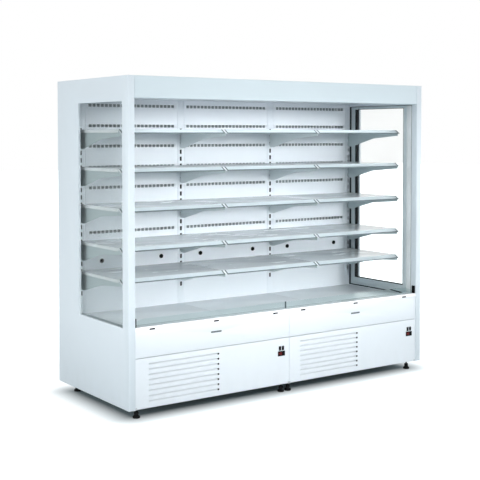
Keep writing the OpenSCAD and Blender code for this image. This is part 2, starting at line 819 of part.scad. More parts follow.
module blind_fabric() color("#cfd9da") cabinet()
    box([-bar_end + 2, bar_end - 2], [fabric_y - fabric_t / 2, fabric_y + fabric_t / 2],
        [bar_z + bar_h + gap, roll_z]);

module blind_catches() color("#0f1011") cabinet() both_ends() difference() {
    box([-inner + gap, -inner + catch_w], [catch_y, catch_y + catch_d],
        [ledge_top + gap, ledge_top + catch_h]);
    box([-inner + catch_wall, -inner + catch_w + 1],
        [fabric_y - pull_pin_r - gap, fabric_y + pull_pin_r + gap],
        [ledge_top + catch_notch_z, ledge_top + catch_h + 1]);
}

// Cooling units: compressor, finned coil and fan behind each panel's louvres
module each_unit() both_halves() translate([unit_x, 0, 0]) children();

module compressors() color("#1d2022") cabinet() each_unit() {
    translate([0, compressor_y, pan_t + rubber_h + compressor_r + base_plate_t / 2]) {
        cylinder(h = compressor_l, r = compressor_r);
        sphere(compressor_r);
        translate([0, 0, compressor_l]) sphere(compressor_r);
    }
    w = compressor_w / 2;
    d = compressor_d / 2;
    box([-w, w], [compressor_y - d, compressor_y + d], [pan_t + rubber_h, pan_t + rubber_h + base_plate_t]);
    for (x = [rubber_inset - w, w - rubber_inset], y = [rubber_inset - d, d - rubber_inset])
        translate([x, compressor_y + y, pan_t]) cylinder(h = rubber_h + seat, d = rubber_d);
}

module condensers() color("#4a5055") cabinet() each_unit() {
    w = coil_w / 2;
    box([-w + coil_rim, w - coil_rim], [coil_y + coil_inset, coil_y + coil_d - coil_inset],
        [pan_t + 2 * coil_inset, pan_t + coil_h - 2 * coil_inset]);
    for (x = [-w, w - coil_rim])
        box([x, x + coil_rim], [coil_y, coil_y + coil_d], [pan_t, pan_t + coil_h]);
    for (z = [pan_t + 4, pan_t + coil_h - 6])
        box([-w, w], [coil_y, coil_y + coil_d], [z, z + coil_rim]);
}

// A guard ring with three arms that carry the fan motor and its shaft
module fan_ring(d, deep) difference() {
    cylinder(h = deep, d = d + 2 * (fan_gap + ring_t));
    translate([0, 0, -1]) cylinder(h = deep + 2, d = d + 2 * fan_gap);
}

module motor_mount(d, deep, shaft_d) {
    translate([0, 0, deep]) cylinder(h = d / 5, d = d / 3.2);
    translate([0, 0, deep - d / 10]) cylinder(h = d / 10 + 1, d = shaft_d);
    for (a = [90, 210, 330]) rotate(a)
        translate([d / 8, -arm_w / 2, deep - 2]) cube([d * 3 / 8 + fan_gap + ring_t / 2, arm_w, 4]);
}

module fan_wheel(d, deep, shaft_d) {
    hub_d = d / 3.6;
    chord = d / 5.5;
    difference() {
        union() {
            translate([0, 0, 4]) cylinder(h = deep - 7, d = hub_d);
            for (k = [0 : fan_blades - 1]) rotate(k * 360 / fan_blades)
                translate([0, 0, deep / 2 + 0.5]) rotate([blade_pitch, 0, 0])
                    translate([hub_d / 2 - 2, -chord / 2, -1]) cube([(d - hub_d) / 2, chord, 2]);
        }
        translate([0, 0, deep - d / 10 - gap]) cylinder(h = d / 5, d = shaft_d + 2 * gap);
    }
}

module facing_back(y, z) translate([0, y, z]) rotate([-90, 0, 0]) children();

module condenser_shrouds() color("#2b2f33") cabinet() each_unit() {
    along_y(shroud_y, shroud_y + 2) difference() {
        translate([-coil_w / 2, pan_t]) square([coil_w, coil_h]);
        translate([0, fan_z]) circle(d = condenser_fan_d + 2 * fan_gap + ring_t);
    }
    facing_back(shroud_y + 1, fan_z) {
        fan_ring(condenser_fan_d, condenser_deep);
        motor_mount(condenser_fan_d, condenser_deep, condenser_shaft);
    }
}

module condenser_fan() color("#c8ccce") facing_back(shroud_y + 1, fan_z)
    fan_wheel(condenser_fan_d, condenser_deep, condenser_shaft);

module condenser_fan_left() cabinet() translate([unit_x - inner, 0, 0]) condenser_fan();
module condenser_fan_right() cabinet() translate([unit_x, 0, 0]) condenser_fan();

module evaporator() color("#9fb1b8") cabinet() {
    x = inner - evaporator_side;
    box([-x, x], [evaporator_y, evaporator_y + evaporator_d], [tub_floor + 6, deck_z - fold_h - 12]);
    both_ends() box([-x - 3, -x + 1], [evaporator_y - 6, evaporator_y + evaporator_d + 6],
        [tub_floor + gap, deck_z - fold_h - 8]);
}

module fan_plate() color("#c4cccf") cabinet() {
    along_y(fan_plate_y, fan_plate_y + fan_plate_t) difference() {
        translate([-run, tub_floor + gap])
            square([2 * run, deck_z - fold_h - tub_floor - 2 * gap]);
        for (x = [-inner / 2, inner / 2])
            translate([x, evaporator_fan_z]) circle(d = evaporator_fan_d + 2 * fan_gap + ring_t);
    }
    for (x = [-inner / 2, inner / 2]) translate([x, 0, 0])
        facing_back(fan_plate_y + seat, evaporator_fan_z) {
            fan_ring(evaporator_fan_d, evaporator_deep);
            motor_mount(evaporator_fan_d, evaporator_deep, evaporator_shaft);
        }
}

module evaporator_fan() color("#e4e6e6") facing_back(fan_plate_y + seat, evaporator_fan_z)
    fan_wheel(evaporator_fan_d, evaporator_deep, evaporator_shaft);

module evaporator_fan_left() cabinet() translate([-inner / 2, 0, 0]) evaporator_fan();
module evaporator_fan_right() cabinet() translate([inner / 2, 0, 0]) evaporator_fan();

end_wall_left();
end_wall_right();
side_glass_left();
side_glass_right();
glazing_spacers();
window_gaskets();
window_trims();
mirror_strips();
back_wall();
roof();
fascia();
canopy_liner();
air_outlet();
lamp_housing();
lamp_diffuser();
insulated_tub();
base_pan();
foot_studs();
foot_pads();
upper_panels();
panel_insets();
service_panel_left();
service_panel_right();
controller_left();
controller_right();
rocker_left_a();
rocker_left_b();
rocker_right_a();
rocker_right_b();
switch_frames_left();
switch_frames_right();
ledge();
ledge_clips();
riser_glass();
return_grille();
deck_plates();
back_panels();
uprights();
panel_plugs();
shelf_tier_1();
shelf_tier_2();
shelf_tier_3();
shelf_tier_4();
shelf_tier_5();
shelf_brackets();
ticket_strips();
blind_cassette();
blind_roller();
blind_bar();
blind_fabric();
blind_catches();
compressors();
condensers();
condenser_shrouds();
condenser_fan_left();
condenser_fan_right();
evaporator();
fan_plate();
evaporator_fan_left();
evaporator_fan_right();
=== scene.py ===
"""Refrigerated display case: camera, studio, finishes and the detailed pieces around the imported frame."""
import json
import math

import bmesh
import bpy
from mathutils import Matrix, Vector

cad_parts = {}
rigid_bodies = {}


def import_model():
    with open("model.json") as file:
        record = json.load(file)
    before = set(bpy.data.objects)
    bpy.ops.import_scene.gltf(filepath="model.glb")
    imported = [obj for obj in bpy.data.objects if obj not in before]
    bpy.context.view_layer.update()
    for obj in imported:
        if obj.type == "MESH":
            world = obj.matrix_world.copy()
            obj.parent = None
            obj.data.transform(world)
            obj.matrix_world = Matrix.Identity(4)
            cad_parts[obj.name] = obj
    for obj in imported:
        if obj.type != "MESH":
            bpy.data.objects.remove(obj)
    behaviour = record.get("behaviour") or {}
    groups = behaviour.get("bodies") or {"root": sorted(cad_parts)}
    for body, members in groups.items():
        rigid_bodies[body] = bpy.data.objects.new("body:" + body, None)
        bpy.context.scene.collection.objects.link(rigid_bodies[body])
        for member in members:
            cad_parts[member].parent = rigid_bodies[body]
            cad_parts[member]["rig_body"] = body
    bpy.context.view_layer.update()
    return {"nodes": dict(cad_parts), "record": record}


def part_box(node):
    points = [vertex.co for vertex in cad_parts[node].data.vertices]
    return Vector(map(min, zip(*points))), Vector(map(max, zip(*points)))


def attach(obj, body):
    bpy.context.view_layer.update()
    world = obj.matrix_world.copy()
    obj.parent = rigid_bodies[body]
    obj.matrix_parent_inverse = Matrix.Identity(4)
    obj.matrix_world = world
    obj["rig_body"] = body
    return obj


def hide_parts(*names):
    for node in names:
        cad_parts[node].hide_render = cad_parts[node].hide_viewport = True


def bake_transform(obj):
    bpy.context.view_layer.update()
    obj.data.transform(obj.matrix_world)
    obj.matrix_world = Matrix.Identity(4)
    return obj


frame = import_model()

# Sizes are in millimetres, and places are measured from the cabinet's middle, front and underside.
MM = 0.001
LENGTH, DEPTH, HEIGHT = 2500, 990, 2066
END_WALL, INSULATION = 48, 60
FOOT = 64
GAP, SEAM = 0.3, 3
INNER = LENGTH / 2 - END_WALL
RUN = INNER - GAP
REAR_INNER = DEPTH - INSULATION

BAYS = 3
BAY = 2 * INNER / BAYS
TIERS = range(1, 6)
SIDES = ("left", "right")
WAYS = (-1, 1)
X, Y, Z = Vector((1, 0, 0)), Vector((0, 1, 0)), Vector((0, 0, 1))


def spot(x, y, z):
    """A place on the cabinet, in metres in the frame."""
    return Vector((x, y - DEPTH / 2, z + FOOT)) * MM


# Camera: its place in metres, its turns in degrees, its sensor and lens in millimetres

CAMERA_PLACE = (-4.2706, -5.9537, 1.7686)
CAMERA_DOWN, CAMERA_RIGHT = 2.161, 35.235
SENSOR, LENS, LENS_SHIFT = 36, 76.431, -0.14
NEAREST, FARTHEST = 0.1, 200


def camera():
    """The photographer's camera, to the left of the case and a little over its middle."""
    data = bpy.data.cameras.new("camera")
    data.sensor_width = SENSOR
    data.lens = LENS
    data.shift_y = LENS_SHIFT
    data.clip_start, data.clip_end = NEAREST, FARTHEST
    made = bpy.data.objects.new("camera", data)
    made.location = CAMERA_PLACE
    made.rotation_euler = (math.radians(90 - CAMERA_DOWN), 0, math.radians(-CAMERA_RIGHT))
    bpy.context.scene.collection.objects.link(made)
    bpy.context.scene.camera = made


# Finishes

# The colour sockets of a Mix node share their names with its other sockets, so they go by number.
MIX_FIRST, MIX_SECOND, MIX_RESULT = 6, 7, 2
DUST_COLOUR, DUST_TOP = (0.42, 0.41, 0.38), 230


def plug(owner, socket, value):
    """Gives a socket a plain value or another node's output."""
    if isinstance(value, bpy.types.NodeSocket):
        owner.node_tree.links.new(value, socket)
    else:
        socket.default_value = value


def add(owner, kind, inputs=None, **settings):
    """A node of a finish or of the surroundings."""
    node = owner.node_tree.nodes.new("ShaderNode" + kind)
    for name, value in settings.items():
        setattr(node, name, value)
    for name, value in (inputs or {}).items():
        plug(owner, node.inputs[name], value)
    return node


def opaque(colour):
    """A colour as a socket takes it. Another node's output stays as it is."""
    return colour if isinstance(colour, bpy.types.NodeSocket) else (*colour, 1)


def feed(finish, socket, source):
    """Gives the finish's shader a plain value or another node's output."""
    plug(finish, finish.node_tree.nodes["Principled BSDF"].inputs[socket], source)


def new_finish(name, colour, roughness, **sockets):
    """A finish of one colour, with the shader's plain values set on its sockets."""
    finish = bpy.data.materials.new(name)
    finish.use_nodes = True
    feed(finish, "Base Color", opaque(colour))
    feed(finish, "Roughness", roughness)
    for socket, value in sockets.items():
        feed(finish, socket.replace("_", " "), value)
    return finish


def grain(finish, size, stretch=(1, 1, 1), detail=2.0, seed=0.0, uv=False):
    """Noise whose features are about size millimetres, and longer along an axis that stretch names."""
    place = add(finish, "TexCoord").outputs["UV" if uv else "Object"]
    scale = [1 / s for s in stretch]
    mapped = add(finish, "Mapping", {"Vector": place, "Scale": scale, "Location": (seed, seed, seed)})
    inputs = {"Vector": mapped.outputs[0], "Scale": 1 / (size * MM), "Detail": detail}
    return add(finish, "TexNoise", inputs).outputs[0]


def spread(finish, source, low, high, to_low, to_high):
    """The source's values from low to high, spread over another range."""
    ranged = add(finish, "MapRange", {"Value": source, "From Min": low, "From Max": high,
                                      "To Min": to_low, "To Max": to_high})
    return ranged.outputs[0]


def figured(owner, operation, first, second, clamped=False):
    """What an operation makes of two numbers, kept from 0 to 1 where it is clamped."""
    return add(owner, "Math", {0: first, 1: second}, operation=operation, use_clamp=clamped).outputs[0]


def mixed(finish, by, first, second):
    """From the first colour to the second, by a number from 0 to 1."""
    colours = {0: by, MIX_FIRST: opaque(first), MIX_SECOND: opaque(second)}
    return add(finish, "Mix", colours, data_type="RGBA").outputs[MIX_RESULT]


def shaded(colour, share):
    """The colour with only a share of its light."""
    return [c * share for c in colour]


def relief(finish, *layers):
    """Raises the surface by layers of (source, depth in millimetres)."""
    normal = None
    for source, depth in layers:
        inputs = {"Height": source, "Distance": depth * MM}
        if normal is not None:
            inputs["Normal"] = normal
        normal = add(finish, "Bump", inputs).outputs[0]
    feed(finish, "Normal", normal)


def height_over_floor(finish, low, high):
    """1 at the low height over the floor, falling to 0 at the high one, in millimetres."""
    place = add(finish, "TexCoord").outputs["Object"]
    z = add(finish, "SeparateXYZ", {0: place}).outputs["Z"]
    return spread(finish, z, low * MM, high * MM, 1.0, 0.0)


def powder_coat(name, colour, roughness=0.3, soiled=0.0, coat=0.0):
    """Baked powder paint: fine orange peel, faint wiping marks, and dust low down where it is soiled."""
    finish = new_finish(name, colour, roughness, Coat_Weight=coat, Coat_Roughness=0.08,
                        Specular_IOR_Level=0.35)
    cloud = grain(finish, 420, detail=3)
    painted = mixed(finish, spread(finish, cloud, 0.35, 0.65, 0, 1), shaded(colour, 0.985), colour)
    if soiled:
        low_down = height_over_floor(finish, FOOT, FOOT + DUST_TOP)
        patches = grain(finish, 60, (1, 1, 2.5), detail=4, seed=3)
        dust = figured(finish, "MULTIPLY", low_down, spread(finish, patches, 0.4, 0.75, 0, soiled))
        painted = mixed(finish, dust, painted, DUST_COLOUR)
    feed(finish, "Base Color", painted)
    wiped = grain(finish, 90, (3, 1, 1), detail=4, seed=7)
    feed(finish, "Roughness", spread(finish, wiped, 0.3, 0.75, roughness - 0.02, roughness + 0.05))
    peel = grain(finish, 2.2, detail=1)
    waves = grain(finish, 260, detail=1, seed=5)
    relief(finish, (peel, 0.006), (waves, 0.05))
    return finish


def drawn_metal(name, colour, roughness, along, streak=0.25, metallic=1.0):
    """Extruded or rolled metal with fine streaks along one direction. Anodised metal is less metallic."""
    finish = new_finish(name, colour, roughness, Metallic=metallic)
    stretch = [60 if axis == along else 1 for axis in "xyz"]
    streaks = grain(finish, 1.4, stretch, detail=3)
    paler = spread(finish, streaks, 0.3, 0.7, 0, 1)
    feed(finish, "Base Color", mixed(finish, paler, shaded(colour, 1 - streak), colour))
    feed(finish, "Roughness", spread(finish, streaks, 0.3, 0.7, roughness + 0.1, roughness - 0.04))
    dents = grain(finish, 45, detail=2, seed=2)
    relief(finish, (streaks, 0.01), (dents, 0.04))
    return finish


def galvanised(name, colour):
    """Zinc-coated steel with a soft spangle."""
    finish = new_finish(name, colour, 0.4, Metallic=1.0)
    place = add(finish, "TexCoord").outputs["Object"]
    spangle = add(finish, "TexVoronoi", {"Vector": place, "Scale": 90}).outputs["Color"]
    shade = add(finish, "SeparateColor", {0: spangle}).outputs[0]
    feed(finish, "Base Color", mixed(finish, shade, shaded(colour, 0.78), colour))
    feed(finish, "Roughness", spread(finish, shade, 0, 1, 0.5, 0.34))
    dents = grain(finish, 12, detail=2)
    relief(finish, (dents, 0.02))
    return finish


def moulded(name, colour, roughness=0.45, texture=0.9, dusty=0.03, shine=0.5):
    """Moulded plastic or rubber with a spark-eroded texture and a little dust."""
    finish = new_finish(name, colour, roughness, Specular_IOR_Level=shine)
    dust = spread(finish, grain(finish, 30, detail=4), 0.45, 0.8, 0, 1)
    dusted = [c + dusty for c in colour]
    feed(finish, "Base Color", mixed(finish, dust, colour, dusted))
    eroded = grain(finish, texture, detail=1, seed=4)
    feed(finish, "Roughness", spread(finish, dust, 0, 1, roughness, roughness + 0.15))
    relief(finish, (eroded, 0.03))
    return finish


def clear(name, tint, passed=1.0):
    """Glass or acrylic. Lamps shine through it, so that what stands behind is lit."""
    finish = new_finish(name, tint, 0.0, IOR=1.06, Transmission_Weight=1.0)
    sheen = spread(finish, grain(finish, 300, detail=2), 0.4, 0.6, 0, 1)
    feed(finish, "Base Color", mixed(finish, sheen, shaded(tint, 0.985), tint))
    waves = grain(finish, 400, detail=1, seed=3)
    relief(finish, (waves, 0.02))
    shader = finish.node_tree.nodes["Principled BSDF"]
    through = add(finish, "BsdfTransparent", {"Color": opaque(shaded(tint, passed))})
    shadow_ray = add(finish, "LightPath").outputs["Is Shadow Ray"]
    both = add(finish, "MixShader", {0: shadow_ray, 1: shader.outputs[0], 2: through.outputs[0]})
    plug(finish, finish.node_tree.nodes["Material Output"].inputs["Surface"], both.outputs[0])
    return finish


def woven(name, colour):
    """Blind cloth: an aluminised yarn woven in lines across the roller."""
    finish = new_finish(name, colour, 0.55, Sheen_Weight=0.2)
    place = add(finish, "TexCoord").outputs["UV"]
    weft, warp = (add(finish, "TexWave", {"Vector": place, "Scale": 260, "Distortion": 0.4, "Detail": 1},
                      bands_direction=way).outputs[1] for way in "YX")
    cross = figured(finish, "MULTIPLY", weft, warp)
    paler = spread(finish, cross, 0, 1, 0, 1)
    feed(finish, "Base Color", mixed(finish, paler, shaded(colour, 0.7), colour))
    waves = grain(finish, 900, detail=2, uv=True)
    relief(finish, (cross, 0.12), (waves, 0.4))
    return finish


def lit_digits():
    """The glowing segments of a display, a little uneven as old ones are."""
    finish = moulded("lit_digits", (0.30, 0.02, 0.015), 0.4, texture=3, dusty=0.0)
    glow = spread(finish, grain(finish, 6), 0.3, 0.7, 0.09, 0.14)
    feed(finish, "Emission Color", (1.0, 0.07, 0.04, 1))
    feed(finish, "Emission Strength", glow)
    return finish


def finishes():
    """All the finishes, by the names that the pieces ask for them with."""
    return {
        # The outer walls and the fascia take darker copies of the white front paint, as painted shade.
        "outer": powder_coat("outer_paint_darkened_for_shade", (0.745, 0.81, 0.86), 0.38, soiled=0.08),
        "front": powder_coat("front_paint", (0.83, 0.875, 0.92), 0.36, soiled=0.06),
        "fascia": powder_coat("fascia_paint_darkened_for_shade", (0.69, 0.775, 0.82), 0.36),
        "inner": powder_coat("inner_paint", (0.83, 0.875, 0.92), 0.36),
        # The shelves are whiter than the inner paint, as painted light, and their undersides darker, as
        # painted shade.
        "shelf": powder_coat("shelf_paint_with_painted_light", (0.90, 0.935, 0.96), 0.24, coat=0.6),
        "shelf_under": powder_coat("shelf_underside_painted_shade", (0.42, 0.50, 0.52), 0.45),
        "upright": powder_coat("upright_paint", (0.81, 0.86, 0.905), 0.34),
        # The brackets at the ends of the display take a darker grey than the others, as painted shade; the
        # air outlet takes it too.
        "bracket": powder_coat("bracket_painted_shade_grey", (0.56, 0.645, 0.67), 0.38),
        "pale_bracket": powder_coat("pale_bracket_colour", (0.80, 0.865, 0.885), 0.38),
        "deck": powder_coat("deck_paint", (0.87, 0.905, 0.93), 0.30, coat=0.6),
        # A dark grey on the back wall's inner face, seen through the perforated panels: painted shade for
        # the duct behind them.
        "lining": powder_coat("duct_painted_shade", (0.36, 0.43, 0.45), 0.6),
        "grille": powder_coat("grille_paint", (0.30, 0.38, 0.40), 0.36),
        "ledge": powder_coat("ledge_plastic", (0.92, 0.935, 0.96), 0.24, coat=0.3),
        "strip": powder_coat("ticket_strip_plastic", (0.55, 0.62, 0.65), 0.30, coat=0.1),
        # Dark grey for the strips' ends, and on their lower edge as painted shade.
        "strip_end": moulded("ticket_strip_ends_and_shade_edge", (0.12, 0.155, 0.165), 0.45, shine=0.3),
        "pan": powder_coat("pan_paint", (0.62, 0.66, 0.68), 0.45, soiled=0.35),
        "glass": clear("window_glass", (0.985, 0.996, 0.994), passed=0.90),
        "riser": clear("riser_acrylic", (0.85, 0.915, 0.91)),
        "gasket": moulded("gasket_rubber", (0.012, 0.015, 0.017), 0.5, shine=0.2),
        "pale_gasket": moulded("pale_gasket_rubber", (0.44, 0.50, 0.53), 0.55),
        "pad": moulded("foot_rubber", (0.006, 0.0065, 0.007), 0.6, texture=1.5, dusty=0.008, shine=0.15),
        "trim": drawn_metal("window_profile", (0.60, 0.675, 0.70), 0.4, "z", streak=0.12, metallic=0.25),
        "bar": drawn_metal("pull_bar_profile", (0.42, 0.45, 0.47), 0.32, "x"),
        "mirror": drawn_metal("polished_strip", (0.94, 0.97, 0.975), 0.16, "z", streak=0.12, metallic=0.35),
        "zinc": galvanised("zinc_plate", (0.55, 0.58, 0.60)),
        "plastic": moulded("black_plastic", (0.0035, 0.004, 0.0045), 0.5, dusty=0.002, shine=0.06),
        "joint": moulded("riser_joint", (0.10, 0.125, 0.135), 0.45, shine=0.3),
        "inset": moulded("inset_plastic", (0.14, 0.165, 0.18), 0.45, shine=0.25),
        # Near-black steel for the foot studs and their nuts.
        "stud": moulded("near_black_stud_steel", (0.012, 0.013, 0.014), 0.4, texture=1.2, dusty=0.01, shine=0.3),
        # Black that is painted shade: the strips behind the upright slots, the slots' sides and the wedges
        # in the louvres' open ends.
        "backing": moulded("slot_and_louvre_painted_shade", (0.008, 0.009, 0.010), 0.9, texture=2, dusty=0.004, shine=0.1),
        "lamp": moulded("lamp_opal", (0.90, 0.93, 0.95), 0.25, texture=2, dusty=-0.04),
        "cloth": woven("blind_cloth", (0.52, 0.57, 0.59)),
        "black": powder_coat("compressor_paint", (0.012, 0.013, 0.015), 0.32, soiled=0.5),
        "fins": drawn_metal("fin_foil", (0.62, 0.65, 0.67), 0.4, "y", streak=0.35),
        "fan": drawn_metal("fan_blade_metal", (0.60, 0.62, 0.64), 0.36, "x"),
        "copper": drawn_metal("copper_tube", (0.66, 0.34, 0.22), 0.34, "x"),
        "guard": drawn_metal("guard_wire", (0.58, 0.60, 0.62), 0.3, "y"),
        "window": moulded("display_window", (0.030, 0.004, 0.006), 0.25, texture=3, dusty=0.002, shine=0.06),
        "digit": lit_digits(),
        "mark": moulded("rocker_mark", (0.30, 0.31, 0.32), 0.5),
    }


def both_sides(name):
    return [f"{name}_{side}" for side in SIDES]


NODE_FINISHES = {
    "outer": [*both_sides("end_wall"), "back_wall", "roof"],
    "front": ["upper_panels", *both_sides("service_panel")],
    "fascia": ["fascia"],
    "inner": ["canopy_liner", "back_panels", "insulated_tub", "lamp_housing"],
    "shelf": [f"shelf_tier_{tier}" for tier in TIERS],
    "upright": ["uprights"],
    "bracket": ["shelf_brackets", "air_outlet"],
    "deck": ["deck_plates"],
    "grille": ["return_grille"],
    "ledge": ["ledge"],
    "strip": ["ticket_strips"],
    "pan": ["base_pan"],
    "glass": both_sides("side_glass"),
    "riser": ["riser_glass"],
    "gasket": ["window_gaskets"],
    "pad": ["foot_pads"],
    "trim": ["window_trims", "glazing_spacers"],
    "bar": ["blind_bar"],
    "mirror": ["mirror_strips"],
    "zinc": ["foot_studs", "blind_cassette", "fan_plate"],
    "plastic": ["ledge_clips", "panel_plugs", "blind_catches", "condenser_shrouds",
                *both_sides("switch_frames"), *both_sides("controller"),
                *[f"{rocker}_{letter}" for rocker in both_sides("rocker") for letter in "ab"]],
    "inset": ["panel_insets"],
    "lamp": ["lamp_diffuser"],
    "cloth": ["blind_fabric", "blind_roller"],
    "black": ["compressors"],
    "fins": ["condensers", "evaporator"],
    "fan": [*both_sides("condenser_fan"), *both_sides("evaporator_fan")],
}


def dress_nodes(finish):
    """Gives each node of the part its finish. Nodes with a more detailed piece are hidden by it."""
    for name, nodes in NODE_FINISHES.items():
        for node in nodes:
            for slot in frame["nodes"][node].material_slots:
                slot.material = finish[name]


# Studio, in metres, watts and degrees

WHITE = (1, 1, 1, 1)
ROOM_COLOUR, ROOM_LIGHT = (0.93, 0.98, 1.0, 1), 0.54
LAMP_COLOUR = (0.985, 0.995, 1.0)

# A lamp's name, its place, the place that it is aimed at, its width and height, its power and its spread.
LAMPS = (
    ("key_lamp", (1.7, -3.1, 1.95), (0, 0.1, 1.05), (2.2, 0.6), 4, 50),
    ("fill_lamp", (-2.2, -3.6, 1.9), (0.2, 0.1, 1.0), (1.4, 0.7), 4.6, 50),
    ("front_lamp", (-1.6, -5.8, 4.0), (0, 0, 1), (5.0, 2.6), 82, 180),
    ("low_lamp", (-2.3, -2.3, 0.35), (-1.1, -0.5, 0.5), (1.2, 0.5), 11, 180),
    ("low_right_lamp", (1.9, -3.2, 0.45), (0.5, -0.5, 0.35), (2.4, 0.6), 10, 120),
    ("left_lamp", (-6.8, -0.6, 2.0), (0, 0, 1), (3.0, 2.6), 134, 180),
    ("right_lamp", (6.8, -0.6, 2.6), (0, 0, 1), (3.0, 2.6), 230, 180),
    ("rear_lamp", (0.8, 6.6, 2.4), (0, 0, 1), (5.0, 2.6), 130, 180),
    ("top_lamp", (0, -0.8, 6.0), (0, 0, 1), (5.0, 4.0), 20, 180),
    ("upper_opening_lamp", (0, -0.66, 1.62), (-0.04, -0.175, 1.57), (2.36, 0.72), 1.6, 9),
    ("lower_opening_lamp", (0, -0.66, 0.92), (-0.04, -0.175, 0.87), (2.36, 0.70), 1.85, 9),
    ("deck_lamp", (0, -0.80, 0.85), (0, -0.15, 0.54), (2.3, 0.2), 0.3, 80),
    ("canopy_lamp", (0, -0.40, 1.945), (0, 0.05, 1.2), (2.2, 0.08), 1.4, 150),
)

FLOOR_HALF = 40
# The floor's own colour is dark grey. Where its glow for the camera fades out near the case, it shows as a
# painted shadow over the real one.
FLOOR_COLOUR = (0.25, 0.305, 0.325)
SHADOW_HALF = (1.17, 0.385, 0)
NEAR_END, NEAR_WHITE = 0.20, 0.85
FAR_START, FAR_END, FAR_WHITE = 0.5, 2.6, 0.6


def seen_directly(owner):
    """1 where the camera looks, also in mirrors and through glass, and 0 for the light on things."""
    rays = add(owner, "LightPath").outputs
    seen = figured(owner, "MAXIMUM", rays["Is Camera Ray"], rays["Is Glossy Ray"])
    seen = figured(owner, "MAXIMUM", seen, rays["Is Transmission Ray"])
    return figured(owner, "SUBTRACT", seen, rays["Diffuse Depth"], clamped=True)


def surroundings():
    """A cool white room that lights the case, and a plain white one where it is looked at."""
    world = bpy.data.worlds.new("studio")
    bpy.context.scene.world = world
    world.use_nodes = True
    world.node_tree.nodes.clear()
    room = add(world, "Background", {"Color": ROOM_COLOUR, "Strength": ROOM_LIGHT})
    backdrop = add(world, "Background", {"Color": WHITE})
    both = add(world, "MixShader", {0: seen_directly(world), 1: room.outputs[0], 2: backdrop.outputs[0]})
    add(world, "OutputWorld", {0: both.outputs[0]})


def lamps():
    """Soft oblong lamps that light the case and aren't seen themselves."""
    for name, place, aim, size, power, angle in LAMPS:
        lamp = bpy.data.lights.new(name, "AREA")
        lamp.shape = "RECTANGLE"
        lamp.size, lamp.size_y = size
        lamp.energy = power
        lamp.color = LAMP_COLOUR
        lamp.spread = math.radians(angle)
        made = bpy.data.objects.new(name, lamp)
        made.location = place
        made.rotation_euler = (Vector(aim) - Vector(place)).to_track_quat("-Z", "Y").to_euler()
        made.visible_camera = made.visible_glossy = made.visible_transmission = False
        bpy.context.scene.collection.objects.link(made)


def brighter_far_out(finish):
    """The floor glows white for the camera away from the case, fading to no glow near it, which leaves a
    painted shadow beside and under the case.
    """
    place = add(finish, "TexCoord").outputs["Object"]
    place = add(finish, "VectorMath", {0: place}, operation="ABSOLUTE").outputs[0]
    place = add(finish, "VectorMath", {0: place, 1: SHADOW_HALF}, operation="SUBTRACT").outputs[0]
    place = add(finish, "VectorMath", {0: place, 1: (0, 0, 0)}, operation="MAXIMUM").outputs[0]
    distance = add(finish, "VectorMath", {0: place}, operation="LENGTH").outputs["Value"]
    near = spread(finish, distance, 0.0, NEAR_END, 0.0, NEAR_WHITE)
    far = spread(finish, distance, FAR_START, FAR_END, 0.0, FAR_WHITE)
    return figured(finish, "ADD", near, far)


def floor():
    """A dark grey floor that glows white for the camera, but for a painted shadow beside the case over the
    real one.
    """
    shape = bmesh.new()
    bmesh.ops.create_grid(shape, x_segments=2, y_segments=2, size=FLOOR_HALF)
    data = bpy.data.meshes.new("floor")
    shape.to_mesh(data)
    shape.free()
    made = bpy.data.objects.new("floor", data)
    bpy.context.scene.collection.objects.link(made)
    finish = new_finish("floor_with_painted_shadow", FLOOR_COLOUR, 0.9)
    feed(finish, "Roughness", spread(finish, grain(finish, 120), 0.3, 0.7, 0.85, 0.95))
    feed(finish, "Emission Color", WHITE)
    feed(finish, "Emission Strength",
         figured(finish, "MULTIPLY", seen_directly(finish), brighter_far_out(finish)))
    data.materials.append(finish)


def studio():
    """White surroundings, soft lamps, and a floor that glows white, with a painted shadow beside the case.
    """
    bpy.context.scene.view_settings.view_transform = "Standard"
    surroundings()
    lamps()
    floor()


# Pieces

SMOOTH_BELOW, SHARP_OVER = 35, 30
ONE_PLACE = 1e-5


def made_of(name, shape, finishes, body, slot, *nodes):
    """Turns a bmesh into a piece that rides on a body, and stands for the nodes that it names."""
    data = bpy.data.meshes.new(name)
    shape.to_mesh(data)
    shape.free()
    for face in data.polygons:
        face.use_smooth = True
    data.set_sharp_from_angle(angle=math.radians(SMOOTH_BELOW))
    for finish in finishes:
        data.materials.append(finish)
    piece = bpy.data.objects.new(name, data)
    bpy.context.scene.collection.objects.link(piece)
    if body:
        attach(piece, body)
    if nodes:
        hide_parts(*nodes)
    return piece


def body_of(node):
    return frame["nodes"][node]["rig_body"]


def slot_of(node):
    return next(p["material_slot"] for p in frame["record"]["subparts"] if p["node"] == node)


def stand_in(node, shape, *finishes):
    """A piece in the place of one node of the part, on the same body."""
    return made_of(node + "_piece", shape, finishes, body_of(node), slot_of(node), node)


def bevel(shape, edges, width, segments=2):
    bmesh.ops.bevel(shape, geom=list(edges), offset=width * MM, offset_type="OFFSET", segments=segments,
                    profile=0.5, affect="EDGES", clamp_overlap=True, material=-1)


def sharp(shape):
    return [e for e in shape.edges if len(e.link_faces) == 2
            and e.calc_face_angle(0) > math.radians(SHARP_OVER)]


def second_finish(shape, belongs):
    """The faces that belong to it take the piece's second finish, and the others its first one."""
    for face in shape.faces:
        face.material_index = int(belongs(face))


def join(shape, part, index=0):
    """Puts a part's faces into the shape, in the finish that has this place in the piece's list."""
    for face in part.faces:
        face.material_index = index
    data = bpy.data.meshes.new("part")
    part.to_mesh(data)
    part.free()
    shape.from_mesh(data)
    bpy.data.meshes.remove(data)


